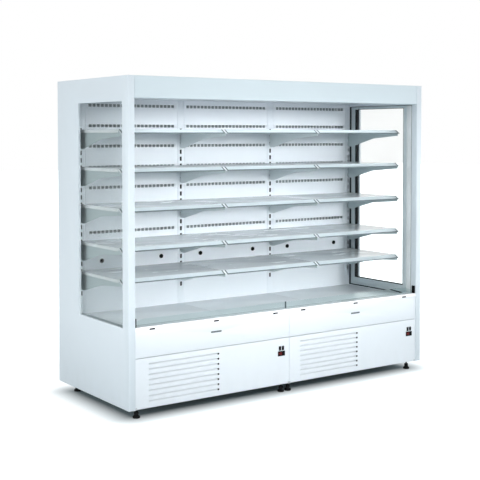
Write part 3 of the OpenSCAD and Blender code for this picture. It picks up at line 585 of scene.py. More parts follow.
def block(shape, low, high, rounding=0.0, segments=2, index=0):
    """A box between two places on the cabinet, with its edges broken by the rounding."""
    part = bmesh.new()
    bmesh.ops.create_cube(part, size=1)
    low, high = spot(*low), spot(*high)
    bmesh.ops.scale(part, vec=high - low, verts=part.verts)
    bmesh.ops.translate(part, vec=(low + high) / 2, verts=part.verts)
    if rounding:
        bevel(part, part.edges, rounding, segments)
    join(shape, part, index)


def rod(shape, start, end, radius, tip=None, sides=24, index=0):
    """A round bar from one place to another, or a cone where the tip's radius is given."""
    part = bmesh.new()
    start, end = spot(*start), spot(*end)
    turn = (end - start).to_track_quat("Z", "Y").to_matrix().to_4x4()
    bmesh.ops.create_cone(part, cap_ends=True, segments=sides, radius1=radius * MM,
                          radius2=(radius if tip is None else tip) * MM, depth=(end - start).length,
                          matrix=Matrix.Translation((start + end) / 2) @ turn)
    join(shape, part, index)


def turned(shape, centre, axis, profile, steps=48, closed=False, index=0):
    """A turned part: a profile of (radius, distance along the axis) in millimetres, spun about the axis."""
    part = bmesh.new()
    points = [part.verts.new((r * MM, 0, h * MM)) for r, h in profile]
    edges = [part.edges.new(pair) for pair in zip(points, points[1:])]
    if closed:
        edges.append(part.edges.new((points[-1], points[0])))
    bmesh.ops.spin(part, geom=points + edges, cent=(0, 0, 0), axis=Z, angle=2 * math.pi, steps=steps,
                   use_merge=True)
    bmesh.ops.remove_doubles(part, verts=part.verts, dist=ONE_PLACE / 10)
    bmesh.ops.recalc_face_normals(part, faces=part.faces)
    place = Matrix.Translation(spot(*centre)) @ axis.to_track_quat("Z", "Y").to_matrix().to_4x4()
    bmesh.ops.transform(part, matrix=place, verts=part.verts)
    join(shape, part, index)


def drawn(shape, outline, start, end, index=0):
    """A closed outline of (y, z) places, drawn out along x from start to end."""
    part = bmesh.new()
    corners = [part.verts.new(spot(start, y, z)) for y, z in outline]
    extruded = bmesh.ops.extrude_face_region(part, geom=[part.faces.new(corners)])["geom"]
    moved = [element for element in extruded if isinstance(element, bmesh.types.BMVert)]
    bmesh.ops.translate(part, vec=X * (end - start) * MM, verts=moved)
    bmesh.ops.recalc_face_normals(part, faces=part.faces)
    join(shape, part, index)


def rounded(corners, radius, steps):
    """A route through the corners, each one cut by a curve that starts the radius before it."""
    points = [Vector(c) for c in corners]
    route = [points[0]]
    for before, corner, after in zip(points, points[1:], points[2:]):
        a = corner + (before - corner).normalized() * radius
        b = corner + (after - corner).normalized() * radius
        for step in range(steps + 1):
            t = step / steps
            route.append(a * (1 - t) ** 2 + corner * 2 * t * (1 - t) + b * t ** 2)
    return route + [points[-1]]


def pipe(shape, route, radius, sides=12, index=0):
    """A tube that follows a route over the cabinet, closed at both ends."""
    part = bmesh.new()
    points = [spot(*p) for p in route]
    last = len(points) - 1
    previous = None
    for i, point in enumerate(points):
        ahead = points[min(i + 1, last)] - points[max(i - 1, 0)]
        place = Matrix.Translation(point) @ ahead.to_track_quat("Z", "Y").to_matrix().to_4x4()
        ring = set(bmesh.ops.create_circle(part, cap_ends=i in (0, last), segments=sides,
                                           radius=radius * MM, matrix=place)["verts"])
        loop = [e for e in {e for v in ring for e in v.link_edges} if set(e.verts) <= ring]
        if previous:
            bmesh.ops.bridge_loops(part, edges=previous + loop)
        previous = loop
    bmesh.ops.recalc_face_normals(part, faces=part.faces)
    join(shape, part, index)


def own_shape(node):
    """The node's mesh with its triangles merged into whole faces."""
    shape = bmesh.new()
    shape.from_mesh(frame["nodes"][node].data)
    bmesh.ops.remove_doubles(shape, verts=shape.verts, dist=ONE_PLACE)
    bmesh.ops.dissolve_limit(shape, angle_limit=math.radians(1), use_dissolve_boundaries=False,
                             verts=shape.verts, edges=shape.edges)
    return shape


def eased_shape(node, width):
    """The node's own shape with its edges broken, as a folded or moulded piece has them."""
    shape = own_shape(node)
    bevel(shape, sharp(shape), width)
    return shape


# Pieces that keep their node's shape: the node, the finish and how far its edges are broken.
EASED = (
    ("end_wall_left", "outer", 1.4),
    ("end_wall_right", "outer", 1.4),
    ("fascia", "fascia", 1.2),
    ("upper_panels", "front", 1.6),
    ("ledge", "ledge", 0.5),
    ("riser_glass", "riser", 0.6),
    ("panel_insets", "inset", 0.5),
    ("blind_catches", "plastic", 0.8),
    ("mirror_strips", "mirror", 0.4),
    ("window_trims", "trim", 0.8),
    ("deck_plates", "deck", 0.6),
    ("lamp_housing", "inner", 0.5),
    ("insulated_tub", "inner", 1.0),
)
CLIP_EDGE, JOINT_HALF = 0.5, 12
# Brackets at least this far from the middle keep the darker grey, as painted shade.
SHADED_END_BRACKETS_FROM = 1150


def ease_pieces(finish):
    """The pieces with broken edges, and the three kinds that have a second finish in some places."""
    for node, name, width in EASED:
        stand_in(node, eased_shape(node, width), finish[name])

    gaskets = own_shape("window_gaskets")
    second_finish(gaskets, lambda face: face.calc_center_median().x < 0)
    stand_in("window_gaskets", gaskets, finish["gasket"], finish["pale_gasket"])

    clips = eased_shape("ledge_clips", CLIP_EDGE)
    second_finish(clips, lambda face: abs(face.calc_center_median().x) < JOINT_HALF * MM)
    stand_in("ledge_clips", clips, finish["plastic"], finish["joint"])

    # The end brackets take the darker grey as painted shade, and the others the pale bracket colour.
    brackets = own_shape("shelf_brackets")
    second_finish(brackets, lambda face: abs(face.calc_center_median().x) < SHADED_END_BRACKETS_FROM * MM)
    stand_in("shelf_brackets", brackets, finish["bracket"], finish["pale_bracket"])


# Display space

FASCIA_H, FIRST_LIP_DROP = 138, 218
TIER_GAP, LOW_TIER_GAP = 250, 200
FIRST_LIP = HEIGHT - FASCIA_H - FIRST_LIP_DROP
LIP_HEIGHTS = [FIRST_LIP - TIER_GAP * tier for tier in range(4)] + [FIRST_LIP - TIER_GAP * 3 - LOW_TIER_GAP]
LIP_Y, LIP_RUN, LIP_RISE = 177, 39.1, 25
SHELF_EDGE = 0.45

SHELF_GAP, STRIP_IN, STRIP_END = 1.5, 7, 9
# STRIP_EDGE is the height of the strips' dark lower edge, which is painted shade.
STRIP_EDGE, STRIP_SEAT, STRIP_FACE = 10, 0.3, 1.2

PANEL_Y, FOLD_R, FOLD_LEAST = 757, 1.8, 1000
SLOT_DEEP, SLOT_SIDE = 3, 120
# The black strips behind the upright slots are painted shade that darkens the slots.
BACKING_Y, BACKING_T, BACKING_LOW, BACKING_HIGH = PANEL_Y + 19, 3, 480, 1935
END_UPRIGHT_IN, END_BACKING_HALF, BACKING_HALF = 24, 19, 25


def shelves(finish):
    """Folded shelves with broken edges, whiter than the inner paint as painted light, with darker undersides
    as painted shade.
    """
    for tier in TIERS:
        node = f"shelf_tier_{tier}"
        shape = eased_shape(node, SHELF_EDGE)
        second_finish(shape, lambda face: face.normal.z < -0.5)
        stand_in(node, shape, finish["shelf"], finish["shelf_under"])


def folded(node):
    """The node's own shape with the upright edges of its front face bent round, as in folded sheet."""
    shape = own_shape(node)
    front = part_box(node)[0][1]
    upright = [e for e in sharp(shape) if e.calc_length() > FOLD_LEAST * MM
               and all(abs(v.co.y - front) < ONE_PLACE * 10 for v in e.verts)]
    bevel(shape, upright, FOLD_R, 3)
    return shape


def on_slot_side(face):
    """The faces of the sheet's thickness around the slots of the uprights, which take black as painted
    shade.
    """
    deep = face.calc_center_median().y - spot(0, PANEL_Y, 0).y
    across = abs(face.normal.y) < 0.5 and 0 < deep < SLOT_DEEP * MM
    return across and face.calc_area() < SLOT_SIDE * MM * MM


def back_of_display(finish):
    """Slotted uprights with black strips behind their slots and black slot sides, painted shade, and the
    perforated panels between them.
    """
    shape = folded("uprights")
    second_finish(shape, on_slot_side)
    end = INNER - END_UPRIGHT_IN
    for x, half in ((-end, END_BACKING_HALF), (-BAY / 2, BACKING_HALF), (BAY / 2, BACKING_HALF),
                    (end, END_BACKING_HALF)):
        block(shape, (x - half, BACKING_Y, BACKING_LOW), (x + half, BACKING_Y + BACKING_T, BACKING_HIGH),
              index=1)
    stand_in("uprights", shape, finish["upright"], finish["backing"])
    stand_in("back_panels", folded("back_panels"), finish["inner"])


def ticket_strips(finish):
    """Channels for the price tickets along the shelves' lips, with a dark grey lower edge as painted shade,
    and dark grey ends.
    """
    length = math.hypot(LIP_RUN, LIP_RISE)
    along = Vector((LIP_RUN, LIP_RISE)) / length
    out = Vector((-along.y, along.x))
    top = length - 0.2
    channel = [(STRIP_EDGE, STRIP_SEAT), (top, STRIP_SEAT), (top, 2.3), (top - 3, 2.3),
               (length - 4, STRIP_FACE), (STRIP_EDGE, STRIP_FACE)]
    edge = [(0, STRIP_SEAT), (STRIP_EDGE, STRIP_SEAT), (STRIP_EDGE, 1.4), (STRIP_EDGE - 1, 2.4), (0, 2.4)]
    end = [(0, STRIP_SEAT), (length, STRIP_SEAT), (length, 2.5), (0, 2.5)]
    shape = bmesh.new()
    for z in LIP_HEIGHTS:
        for bay in range(BAYS):
            left = bay * BAY - INNER + SHELF_GAP + STRIP_IN
            right = left + BAY - 2 * (SHELF_GAP + STRIP_IN)
            inner_left, inner_right = left + STRIP_END, right - STRIP_END
            # The lower edge and the ends take the dark grey; on the lower edge it is painted shade.
            for outline, start, stop, index in ((channel, inner_left, inner_right, 0),
                                                (edge, inner_left, inner_right, 1),
                                                (end, left, inner_left, 1), (end, inner_right, right, 1)):
                places = [Vector((LIP_Y, z)) + along * a + out * b for a, b in outline]
                drawn(shape, places, start, stop, index)
    stand_in("ticket_strips", shape, finish["strip"], finish["strip_end"])


# Front

PANEL_FRONT, PANEL_EDGE = 4, 1.2
PANEL_W = INNER - SEAM
PANEL_RIGHT = {"left": -SEAM / 2, "right": INNER - SEAM / 2}
LOUVRES, LOUVRE_X, LOUVRE_W, LOUVRE_Z, LOUVRE_PITCH = 8, 93, 530, 37, 33.4
# A black wedge in each louvre's open end, as painted shade: its length, depth and height.
MOUTH_L, MOUTH_D, MOUTH_H = 12, 3, 11

CONTROL_IN = 66
DISPLAY_Z = 214
BEZEL_HALF, BEZEL_DEEP = (30.5, 17), (2.2, 3.7)
CASE_HALF, CASE_DEEP = (28.2, 14.7), (3.2, 53.5)
KEY_HALF, KEY_DEEP, KEY_COLUMNS, KEY_ROWS = (2.75, 2.75), (1.5, 2.6), (16.75, 25.75), (-4.25, 5.75)
WINDOW_X, WINDOW_HALF, WINDOW_DEEP = -9, (18, 11), (1.8, 2.4)
READING = "40"
DIGIT_X, DIGIT_PITCH, DIGIT_W, DIGIT_H, DIGIT_DEEP = -22, 13.5, 9, 15, (1.65, 1.9)
POINT_X, POINT_HALF = -10.8, (0.8, 0.8)
# The lit bars of a digit: top, upper right, lower right, bottom, lower left, upper left, middle.
LIT_BARS = {"4": ".##..##", "0": "######."}

SWITCH_PITCH, SWITCH_Z, SWITCH_PIVOT = 25.5, 250, 9
ROCKER_HALF, ROCKER_PLAY, ROCKER_TIP, ROCKER_EDGE = 7.7, 0.9, 9, 0.4
ROCKER_FRONT, ROCKER_HOLLOW, ROCKER_BACK = 3, 1.5, 2.5
PIN_R, PIN_PAST = 1.5, 1
MARK_OUT, ON_HALF, ON_LOW, ON_TOP = 3.9, 0.5, 5, 9.4
OFF_LOW, OFF_RING = 7.2, [(1.6, 0), (2.3, 0), (2.3, 1.05), (1.6, 1.05)]
FRAME_EDGE = 0.35


def rim_edges(shape, node):
    """The edges around a service panel's front."""
    low, high = (Vector(corner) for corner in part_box(node))
    front = spot(0, PANEL_FRONT, 0).y

    def on_rim(at):
        ends = min(abs(at.x - low.x), abs(at.x - high.x), abs(at.z - low.z), abs(at.z - high.z))
        return abs(at.y - front) < ONE_PLACE and ends < ONE_PLACE

    return [e for e in sharp(shape) if all(on_rim(v.co) for v in e.verts)]


def service_panels(finish):
    """Folded trays with rolled front edges and pressed louvres, which are open at their right ends, where a
    black wedge is painted shade.
    """
    for side in SIDES:
        node = f"service_panel_{side}"
        shape = own_shape(node)
        bevel(shape, rim_edges(shape, node), PANEL_EDGE, 3)
        end = PANEL_RIGHT[side] - PANEL_W + LOUVRE_X + LOUVRE_W
        for row in range(LOUVRES):
            z = LOUVRE_Z + row * LOUVRE_PITCH
            # Black wedge in the louvre's open end: painted shade.
            mouth = [(PANEL_FRONT + 0.2, z), (PANEL_FRONT + MOUTH_D, z + MOUTH_H),
                     (PANEL_FRONT + 0.2, z + MOUTH_H)]
            drawn(shape, mouth, end - MOUTH_L, end - GAP, 1)
        stand_in(node, shape, finish["front"], finish["backing"])


def seven_segments(shape, digit, x, z):
    """One digit of lit bars with its lower left corner at (x, z)."""
    t = DIGIT_W / 6
    middle, right, top = z + DIGIT_H / 2, x + DIGIT_W, z + DIGIT_H
    bars = (
        ((x + t, top - t), (right - t, top)),
        ((right - t, middle + t / 3), (right, top - t / 2)),
        ((right - t, z + t / 2), (right, middle - t / 3)),
        ((x + t, z), (right - t, z + t)),
        ((x, z + t / 2), (x + t, middle - t / 3)),
        ((x, middle + t / 3), (x + t, top - t / 2)),
        ((x + t, middle - t / 2), (right - t, middle + t / 2)),
    )
    for lit, (low, high) in zip(LIT_BARS[digit], bars):
        if lit == "#":
            block(shape, (low[0], DIGIT_DEEP[0], low[1]), (high[0], DIGIT_DEEP[1], high[1]), index=2)


def plate(shape, x, z, half, deep, rounding=0.0, index=0):
    """A block about a place on the front, by half its width and height and by its front and back."""
    low, high = (x - half[0], deep[0], z - half[1]), (x + half[0], deep[1], z + half[1])
    block(shape, low, high, rounding, index=index)


def temperature_display(side, finish):
    """A bezel with a dark red window, lit digits and four keys, and its case behind the panel."""
    middle = PANEL_RIGHT[side] - CONTROL_IN
    shape = bmesh.new()
    plate(shape, middle, DISPLAY_Z, BEZEL_HALF, BEZEL_DEEP, 0.6)
    plate(shape, middle, DISPLAY_Z, CASE_HALF, CASE_DEEP, 0.8)
    for column in KEY_COLUMNS:
        for row in KEY_ROWS:
            plate(shape, middle + column, DISPLAY_Z + row, KEY_HALF, KEY_DEEP, 0.5)
    plate(shape, middle + WINDOW_X, DISPLAY_Z, WINDOW_HALF, WINDOW_DEEP, 0.25, 1)
    foot = DISPLAY_Z - DIGIT_H / 2
    for place, digit in enumerate(READING):
        seven_segments(shape, digit, middle + DIGIT_X + place * DIGIT_PITCH, foot)
    plate(shape, middle + POINT_X, foot + POINT_HALF[1], POINT_HALF, DIGIT_DEEP, index=2)
    stand_in(f"controller_{side}", shape, finish["plastic"], finish["window"], finish["digit"])


def rocker(side, letter, finish):
    """A rocker with a hollowed face, its on and off marks, and its pin, tipped to its resting side."""
    x = PANEL_RIGHT[side] - CONTROL_IN + (SWITCH_PITCH / 2 if letter == "b" else -SWITCH_PITCH / 2)
    node = f"rocker_{side}_{letter}"
    low, high = (Vector(corner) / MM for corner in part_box(node))
    half = (high.z - low.z) / 2 - ROCKER_PLAY
    shape = bmesh.new()
    face = [(SWITCH_PIVOT - ROCKER_FRONT - ROCKER_HOLLOW * (step / 6) ** 2, SWITCH_Z + half * step / 6)
            for step in range(-6, 7)]
    back = SWITCH_PIVOT + ROCKER_BACK
    drawn(shape, [(back, SWITCH_Z - half), *face, (back, SWITCH_Z + half)], x - ROCKER_HALF, x + ROCKER_HALF)
    bevel(shape, sharp(shape), ROCKER_EDGE)
    reach = ROCKER_HALF + PIN_PAST
    rod(shape, (x - reach, SWITCH_PIVOT, SWITCH_Z), (x + reach, SWITCH_PIVOT, SWITCH_Z), PIN_R, sides=16)
    mark = SWITCH_PIVOT - MARK_OUT
    block(shape, (x - ON_HALF, mark - 0.15, SWITCH_Z + ON_LOW),
          (x + ON_HALF, mark + 1, SWITCH_Z + ON_TOP), index=1)
    turned(shape, (x, mark + 0.9, SWITCH_Z - OFF_LOW), -Y, OFF_RING, 24, True, 1)
    tip = Matrix.Rotation(math.radians(ROCKER_TIP), 3, "X")
    bmesh.ops.rotate(shape, cent=spot(x, SWITCH_PIVOT, SWITCH_Z), matrix=tip, verts=shape.verts)
    stand_in(node, shape, finish["plastic"], finish["mark"])


def controls(finish):
    """The display and the two switches in each service panel."""
    for side in SIDES:
        temperature_display(side, finish)
        frames = f"switch_frames_{side}"
        stand_in(frames, eased_shape(frames, FRAME_EDGE), finish["plastic"])
        for letter in "ab":
            rocker(side, letter, finish)


# Shell

SCREW_R, SCREW_H, SCREW_IN = 5, 1.8, 18
SKIN_BACK, SKIN_FRONT = DEPTH - 2, DEPTH - 9
VENT_LOW, VENT_HIGH, VENT_SIDE, VENT_LAP = 60, 300, 110, 20
SLATS, SLAT_PITCH, SLAT_RISE, SLAT_T = 15, 18, 11, 1.2
ACROSS_SCREWS = (30, 340, HEIGHT - 30)
EDGE_SCREWS = (1180, *range(480, 2000, 180))

ROOF_FRONT, ROOF_REAR, ROOF_LOW = 20.3, REAR_INNER - GAP, HEIGHT - INSULATION
SHEET_LOW, SHEET_TOP = HEIGHT - 7, HEIGHT - 4.5
RIM_W, RIM_LOW = 16, HEIGHT - 8
CAP_HALF, CAP_TOP = 14, HEIGHT - 2.8
ROOF_SCREW_Z, ROOF_SCREW_IN, CAP_SCREW_X = HEIGHT - 4.6, 30, 28
ROOF_SCREWS_X = [190 * place for place in range(-6, 7) if place]
CAP_SCREWS_Y = range(100, 900, 160)


def screw_head(shape, centre, axis):
    """A low domed head with a round recess."""
    profile = [(1, 0), (1, 0.35), (0.7, 0.85), (0.3, 1), (0.22, 0.55), (0, 0.5)]
    turned(shape, centre, axis, [(SCREW_R * r, SCREW_H * h) for r, h in profile], 20)


def rear_skin(shape, left, right):
    """A skin panel from side to side, with its slatted vent and its screws."""
    for low, high in (((left, VENT_HIGH + VENT_LAP), (right, HEIGHT - 1)),
                      ((left, 1), (right, VENT_LOW - VENT_LAP)),
                      ((left, VENT_LOW - VENT_LAP - 2), (left + VENT_SIDE, VENT_HIGH + VENT_LAP + 2)),
                      ((right - VENT_SIDE, VENT_LOW - VENT_LAP - 2), (right, VENT_HIGH + VENT_LAP + 2))):
        block(shape, (low[0], SKIN_FRONT, low[1]), (high[0], SKIN_BACK, high[1]), 0.8)
    for row in range(SLATS):
        z = VENT_LOW - 14 + row * SLAT_PITCH
        slat = [(SKIN_FRONT + 1, z), (SKIN_FRONT + 1 + SLAT_T, z), (SKIN_BACK, z + SLAT_RISE),
                (SKIN_BACK - SLAT_T, z + SLAT_RISE)]
        drawn(shape, slat, left + VENT_SIDE - 2, right - VENT_SIDE + 2)
    for x in (left + SCREW_IN, (left + right) / 2, right - SCREW_IN):
        for z in ACROSS_SCREWS:
            screw_head(shape, (x, SKIN_BACK, z), Y)
    for x in (left + SCREW_IN, right - SCREW_IN):
        for z in EDGE_SCREWS:
            screw_head(shape, (x, SKIN_BACK, z), Y)


def rear_wall(finish):
    """Three skin panels screwed over the foamed wall, each with a slatted service vent near the floor."""
    shape = bmesh.new()
    block(shape, (-RUN, REAR_INNER, 0), (RUN, DEPTH - 8, HEIGHT), 1.0)
    # The faces towards the display take the dark grey, painted shade for the duct.
    second_finish(shape, lambda face: face.normal.y < -0.5)
    wide = 2 * RUN / BAYS
    for panel in range(BAYS):
        left = -RUN + panel * wide + SEAM / 2
        rear_skin(shape, left, left + wide - SEAM)
    painted = [finish["outer"], finish["lining"]]
    made_of("rear_wall", shape, painted, "root", slot_of("back_wall"), "back_wall")


def roof_cover(finish):
    """The roof's cover sheet in two lengths, with a raised rim, a capped joint and screws."""
    shape = bmesh.new()
    block(shape, (-RUN, ROOF_FRONT, ROOF_LOW), (RUN, ROOF_REAR, HEIGHT - 6), 1.0)
    for left, right in ((-RUN, -2), (2, RUN)):
        block(shape, (left + 0.5, ROOF_FRONT + 0.5, SHEET_LOW),
              (right - 0.5, ROOF_REAR - 0.5, SHEET_TOP), 0.8)
    lap = RIM_W - 2
    for low, high in (((-RUN, ROOF_FRONT), (RUN, ROOF_FRONT + RIM_W)),
                      ((-RUN, ROOF_REAR - RIM_W), (RUN, ROOF_REAR)),
                      ((-RUN, ROOF_FRONT + lap), (-RUN + RIM_W, ROOF_REAR - lap)),
                      ((RUN - RIM_W, ROOF_FRONT + lap), (RUN, ROOF_REAR - lap))):
        block(shape, (*low, RIM_LOW), (*high, HEIGHT), 1.5, 3)
    block(shape, (-CAP_HALF, ROOF_FRONT + RIM_W - 1, SHEET_LOW),
          (CAP_HALF, ROOF_REAR - RIM_W + 1, CAP_TOP), 1.0)
    for x in ROOF_SCREWS_X:
        for y in (ROOF_FRONT + ROOF_SCREW_IN, ROOF_REAR - ROOF_SCREW_IN):
            screw_head(shape, (x, y, ROOF_SCREW_Z), Z)
    for y in CAP_SCREWS_Y:
        for x in (-CAP_SCREW_X, CAP_SCREW_X):
            screw_head(shape, (x, y, ROOF_SCREW_Z), Z)
    made_of("roof_cover", shape, [finish["outer"]], "root", slot_of("roof"), "roof")


# Feet

FOOT_X = (37 - INNER, -30, 30, INNER - 37)
FOOT_Y = (60, REAR_INNER - 50)
PAD = [(0, 0), (21.5, 0), (23.5, 1.8), (23.5, 4), (22.6, 4.6), (22.6, 6), (23.5, 6.6), (23.5, 10.6),
       (22.4, 12), (18.5, 13.6), (13.4, 18.4), (11.8, 19.7), (0, 19.7)]
COLLAR = [(0, 19), (12.5, 19), (14.5, 21), (14.5, 37), (13, 39), (0, 39)]
RIBS, RIB_RING, RIB_R, RIB_TIP, RIB_LOW, RIB_TOP = 16, 17.5, 1.3, 0.8, 12, 15.5
STUD_IN_PAD, STUD_L, STUD_R, THREAD_ROOT, THREAD_PITCH, THREADS = 20, 74, 6, 5.15, 1.75, 41
NUT_R, NUT_H, NUT_EDGE, NUT_HEIGHTS = 10.5, 8, 0.9, (-8.3, 4.3)


def foot_pad(shape, x, y):
    """A ribbed rubber pad with a collar."""
    turned(shape, (x, y, -FOOT), Z, PAD, 40)
    turned(shape, (x, y, -FOOT), Z, COLLAR, 32)
    for rib in range(RIBS):
        angle = 2 * math.pi * rib / RIBS
        rib_x, rib_y = x + RIB_RING * math.cos(angle), y + RIB_RING * math.sin(angle)
        rod(shape, (rib_x, rib_y, RIB_LOW - FOOT), (rib_x, rib_y, RIB_TOP - FOOT), RIB_R, RIB_TIP, 8)


def foot_stud(shape, x, y):
    """A threaded stud, held to the base pan by two nuts."""
    thread = [(0, 0), (STUD_R - 0.8, 0)]
    for turn in range(THREADS):
        thread += [(STUD_R, 0.8 + turn * THREAD_PITCH), (THREAD_ROOT, 0.8 + (turn + 0.5) * THREAD_PITCH)]
    thread += [(STUD_R - 1, STUD_L), (0, STUD_L)]
    turned(shape, (x, y, STUD_IN_PAD - FOOT), Z, thread, 20)
    for z in NUT_HEIGHTS:
        nut = bmesh.new()
        rod(nut, (x, y, z), (x, y, z + NUT_H), NUT_R, sides=6)
        bevel(nut, {e for f in nut.faces if abs(f.normal.z) > 0.9 for e in f.edges}, NUT_EDGE)
        join(shape, nut)


def feet(finish):
    """Two rows of levelling feet, at the ends and on both sides of the middle."""
    pads, studs = bmesh.new(), bmesh.new()
    for x in FOOT_X:
        for y in FOOT_Y:
            foot_pad(pads, x, y)
            foot_stud(studs, x, y)
    stand_in("foot_pads", pads, finish["pad"])
    stand_in("foot_studs", studs, finish["stud"])


# Night blind

ROLLER_Y, ROLLER_Z, ROLLER_R, CORE_R = 53.3, 1973.3, 25.7, 20.5
AXLE = [(0, 1150), (20, 1150), (20, 1186), (17, 1188), (8, 1188), (8, 1190), (4, 1190), (4, 1200.5),
        (3.4, 1201.2), (0, 1201.2)]
CLOTH_Y, CLOTH_HALF, CLOTH_IN_BAR = 27, 1184, 2
PULL = 1400
BAR_LOW, BAR_H, BAR_HALF_T, BAR_END = 1931, 20, 5, 1186
BAR_PROFILE_END = BAR_END - 4
BAR_CAP, BAR_CAP_EDGE = 5, 1.2
PULL_PIN_R, PULL_PIN_TIP, PULL_PIN_L, PULL_PIN_NOSE = 2.5, 1.8, 7.2, 0.8
# The pull bar's profile, as (y, z) from its middle and its underside.
BAR_PROFILE = [(-5, 5), (-3.5, 1.9), (0, 0), (3.5, 1.9), (5, 5), (5, 19.2), (4.2, 20), (1, 20), (1, 17),
               (-1, 17), (-1, 20), (-4.2, 20), (-5, 19.2), (-5, 13.5), (-4.2, 12.7), (-4.2, 9.3), (-5, 8.5)]


def blind_roller(finish):
    """The wound roller with an axle end at either side."""
    shape = bmesh.new()
    wound = [(ROLLER_R - 0.3, -CLOTH_HALF), (ROLLER_R, 1.5 - CLOTH_HALF), (ROLLER_R, CLOTH_HALF - 1.5),
             (ROLLER_R - 0.3, CLOTH_HALF), (CORE_R, CLOTH_HALF + 0.4), (CORE_R, -CLOTH_HALF - 0.4)]
    turned(shape, (0, ROLLER_Y, ROLLER_Z), X, wound, 64, True)
    for way in WAYS:
        turned(shape, (0, ROLLER_Y, ROLLER_Z), X * way, AXLE, 40, index=1)
    stand_in("blind_roller", shape, finish["cloth"], finish["zinc"])


def blind_bar(finish):
    """The pull bar with its end caps and pins."""
    shape = bmesh.new()
    outline = [(CLOTH_Y + y, BAR_LOW + z) for y, z in BAR_PROFILE]
    drawn(shape, outline, -BAR_PROFILE_END, BAR_PROFILE_END)
    middle = BAR_LOW + BAR_H / 2
    for way in WAYS:
        near, far = sorted((way * (BAR_END - BAR_CAP), way * BAR_END))
        block(shape, (near, CLOTH_Y - BAR_HALF_T, BAR_LOW), (far, CLOTH_Y + BAR_HALF_T, BAR_LOW + BAR_H),
              BAR_CAP_EDGE, 3, 1)
        root, shoulder, nose = ((way * x, CLOTH_Y, middle) for x in (
            BAR_END - 1, BAR_END + PULL_PIN_L, BAR_END + PULL_PIN_L + PULL_PIN_NOSE))
        rod(shape, root, shoulder, PULL_PIN_R, sides=20, index=2)
        rod(shape, shoulder, nose, PULL_PIN_R, PULL_PIN_TIP, 20, 2)
    stand_in("blind_bar", shape, finish["bar"], finish["plastic"], finish["zinc"])


def blind_cloth(finish):
    """The stretch of cloth between the roller and the bar. Its weave is laid out as on the pulled cloth."""
    low = BAR_LOW + BAR_H - CLOTH_IN_BAR
    wide, drop = 2 * CLOTH_HALF * MM, (ROLLER_Z - low) * MM
    shape = bmesh.new()
    bmesh.ops.create_grid(shape, x_segments=48, y_segments=10, size=0.5)
    bmesh.ops.scale(shape, vec=(wide, drop, 1), verts=shape.verts)
    weave = shape.loops.layers.uv.new("cloth")
    for face in shape.faces:
        for loop in face.loops:
            at = loop.vert.co
            loop[weave].uv = (at.x, at.y / drop * (PULL * MM + drop))
    upright = Matrix.Rotation(math.radians(90), 3, "X")
    bmesh.ops.rotate(shape, cent=(0, 0, 0), matrix=upright, verts=shape.verts)
    bmesh.ops.translate(shape, vec=spot(0, CLOTH_Y, (ROLLER_Z + low) / 2), verts=shape.verts)
    piece = made_of("blind_cloth", shape, [finish["cloth"]], None, slot_of("blind_fabric"), "blind_fabric")
    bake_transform(piece)


def night_blind(finish):
    """The blind that is pulled down over the opening at night."""
    blind_roller(finish)
    blind_bar(finish)
    blind_cloth(finish)


# Cooling

UNIT_X = [half + LOUVRE_X + LOUVRE_W / 2 for half in (-INNER, 0)]
COIL_Y, COIL_D, COIL_W, COIL_H = 80, 70, 420, 255
COIL_SHEET, COIL_LOW, COIL_TOP, COIL_TRAYS = 2, 4.2, COIL_H + 3.4, (8, COIL_H - 2)
COIL_FINS, FIN_HALF, FIN_IN, FIN_END, FIN_LOW = 104, 0.25, 3, 5, 10
TUBE_ROWS, TUBE_Y, TUBE_R = [24 + 24 * row for row in range(10)], (98, 132), 4.5
TUBE_PAST, BEND_OUT, BEND_R = 2, 9, 8.5

CONDENSER_FAN = {"plate_y": 151.3, "z": 140, "diameter": 220, "deep": 30}
EVAPORATOR_FAN = {"plate_y": 321, "z": 421, "diameter": 92, "deep": 22}
BLADES, BLADE_T, TIP_PLAY = 5, 1.4, 2
HUB_SHARE, HUB_WALL = 7.2, 1.5
ROOT_PITCH, PITCH_FALL, SWEEP = 36, 16, 0.18
GUARD_Y, GUARD_D, GUARD_REACH, SPOKE_R, RING_R = 188, 226, 32, 1.6, 1.2
GUARD_RINGS = (0.25, 0.45, 0.65, 0.85, 1.0)
SPOKES, SPOKE_FROM, SPOKE_TO = (45, 135, 225, 315), GUARD_D * 0.1, GUARD_D / 2 + 4

COMPRESSOR_Y, SHELL_Z, RUBBER_Z = 620, 23, 4.2
SHELL = [(0, 0), (28, 1.6), (50, 8), (65, 21), (72.5, 42), (75, 70), (75, 112), (77.5, 113), (77.5, 120),
         (75, 121), (75, 172), (72.5, 198), (65, 219), (50, 232), (28, 238.4), (0, 240)]
RUBBER = [(0, 0), (13, 0), (13, 4), (10.5, 6), (10.5, 10), (13, 12), (13, 17), (0, 17)]
MOUNT_HALF, MOUNT_LOW, MOUNT_TOP = (110, 85), 20, 26
TERMINAL_HALF, TERMINAL_Y, TERMINAL_Z = 30, (-92, -66), (110, 175)
BOLT_X, BOLT_Y, BOLT_R, BOLT_LOW, BOLT_TOP = 95, 70, 7, 24, 34

# The pipes of a unit: places from the unit's middle, radius and steps of the bends, and radius of the pipe.
PIPES = (
    ([(70, 600, 200), (130, 560, 200), (170, 480, 200), (222, 300, 200), (226, 180, 240), (222, 132, 240)],
     25, 5, 4.5),
    ([(-40, 680, 180), (-60, 760, 180), (-60, 830, 200), (-60, 850, 318)], 25, 5, 6),
    ([(60, 575, 120), (85, 520, 120), (85, 505, 122)], 12, 4, 4),
)

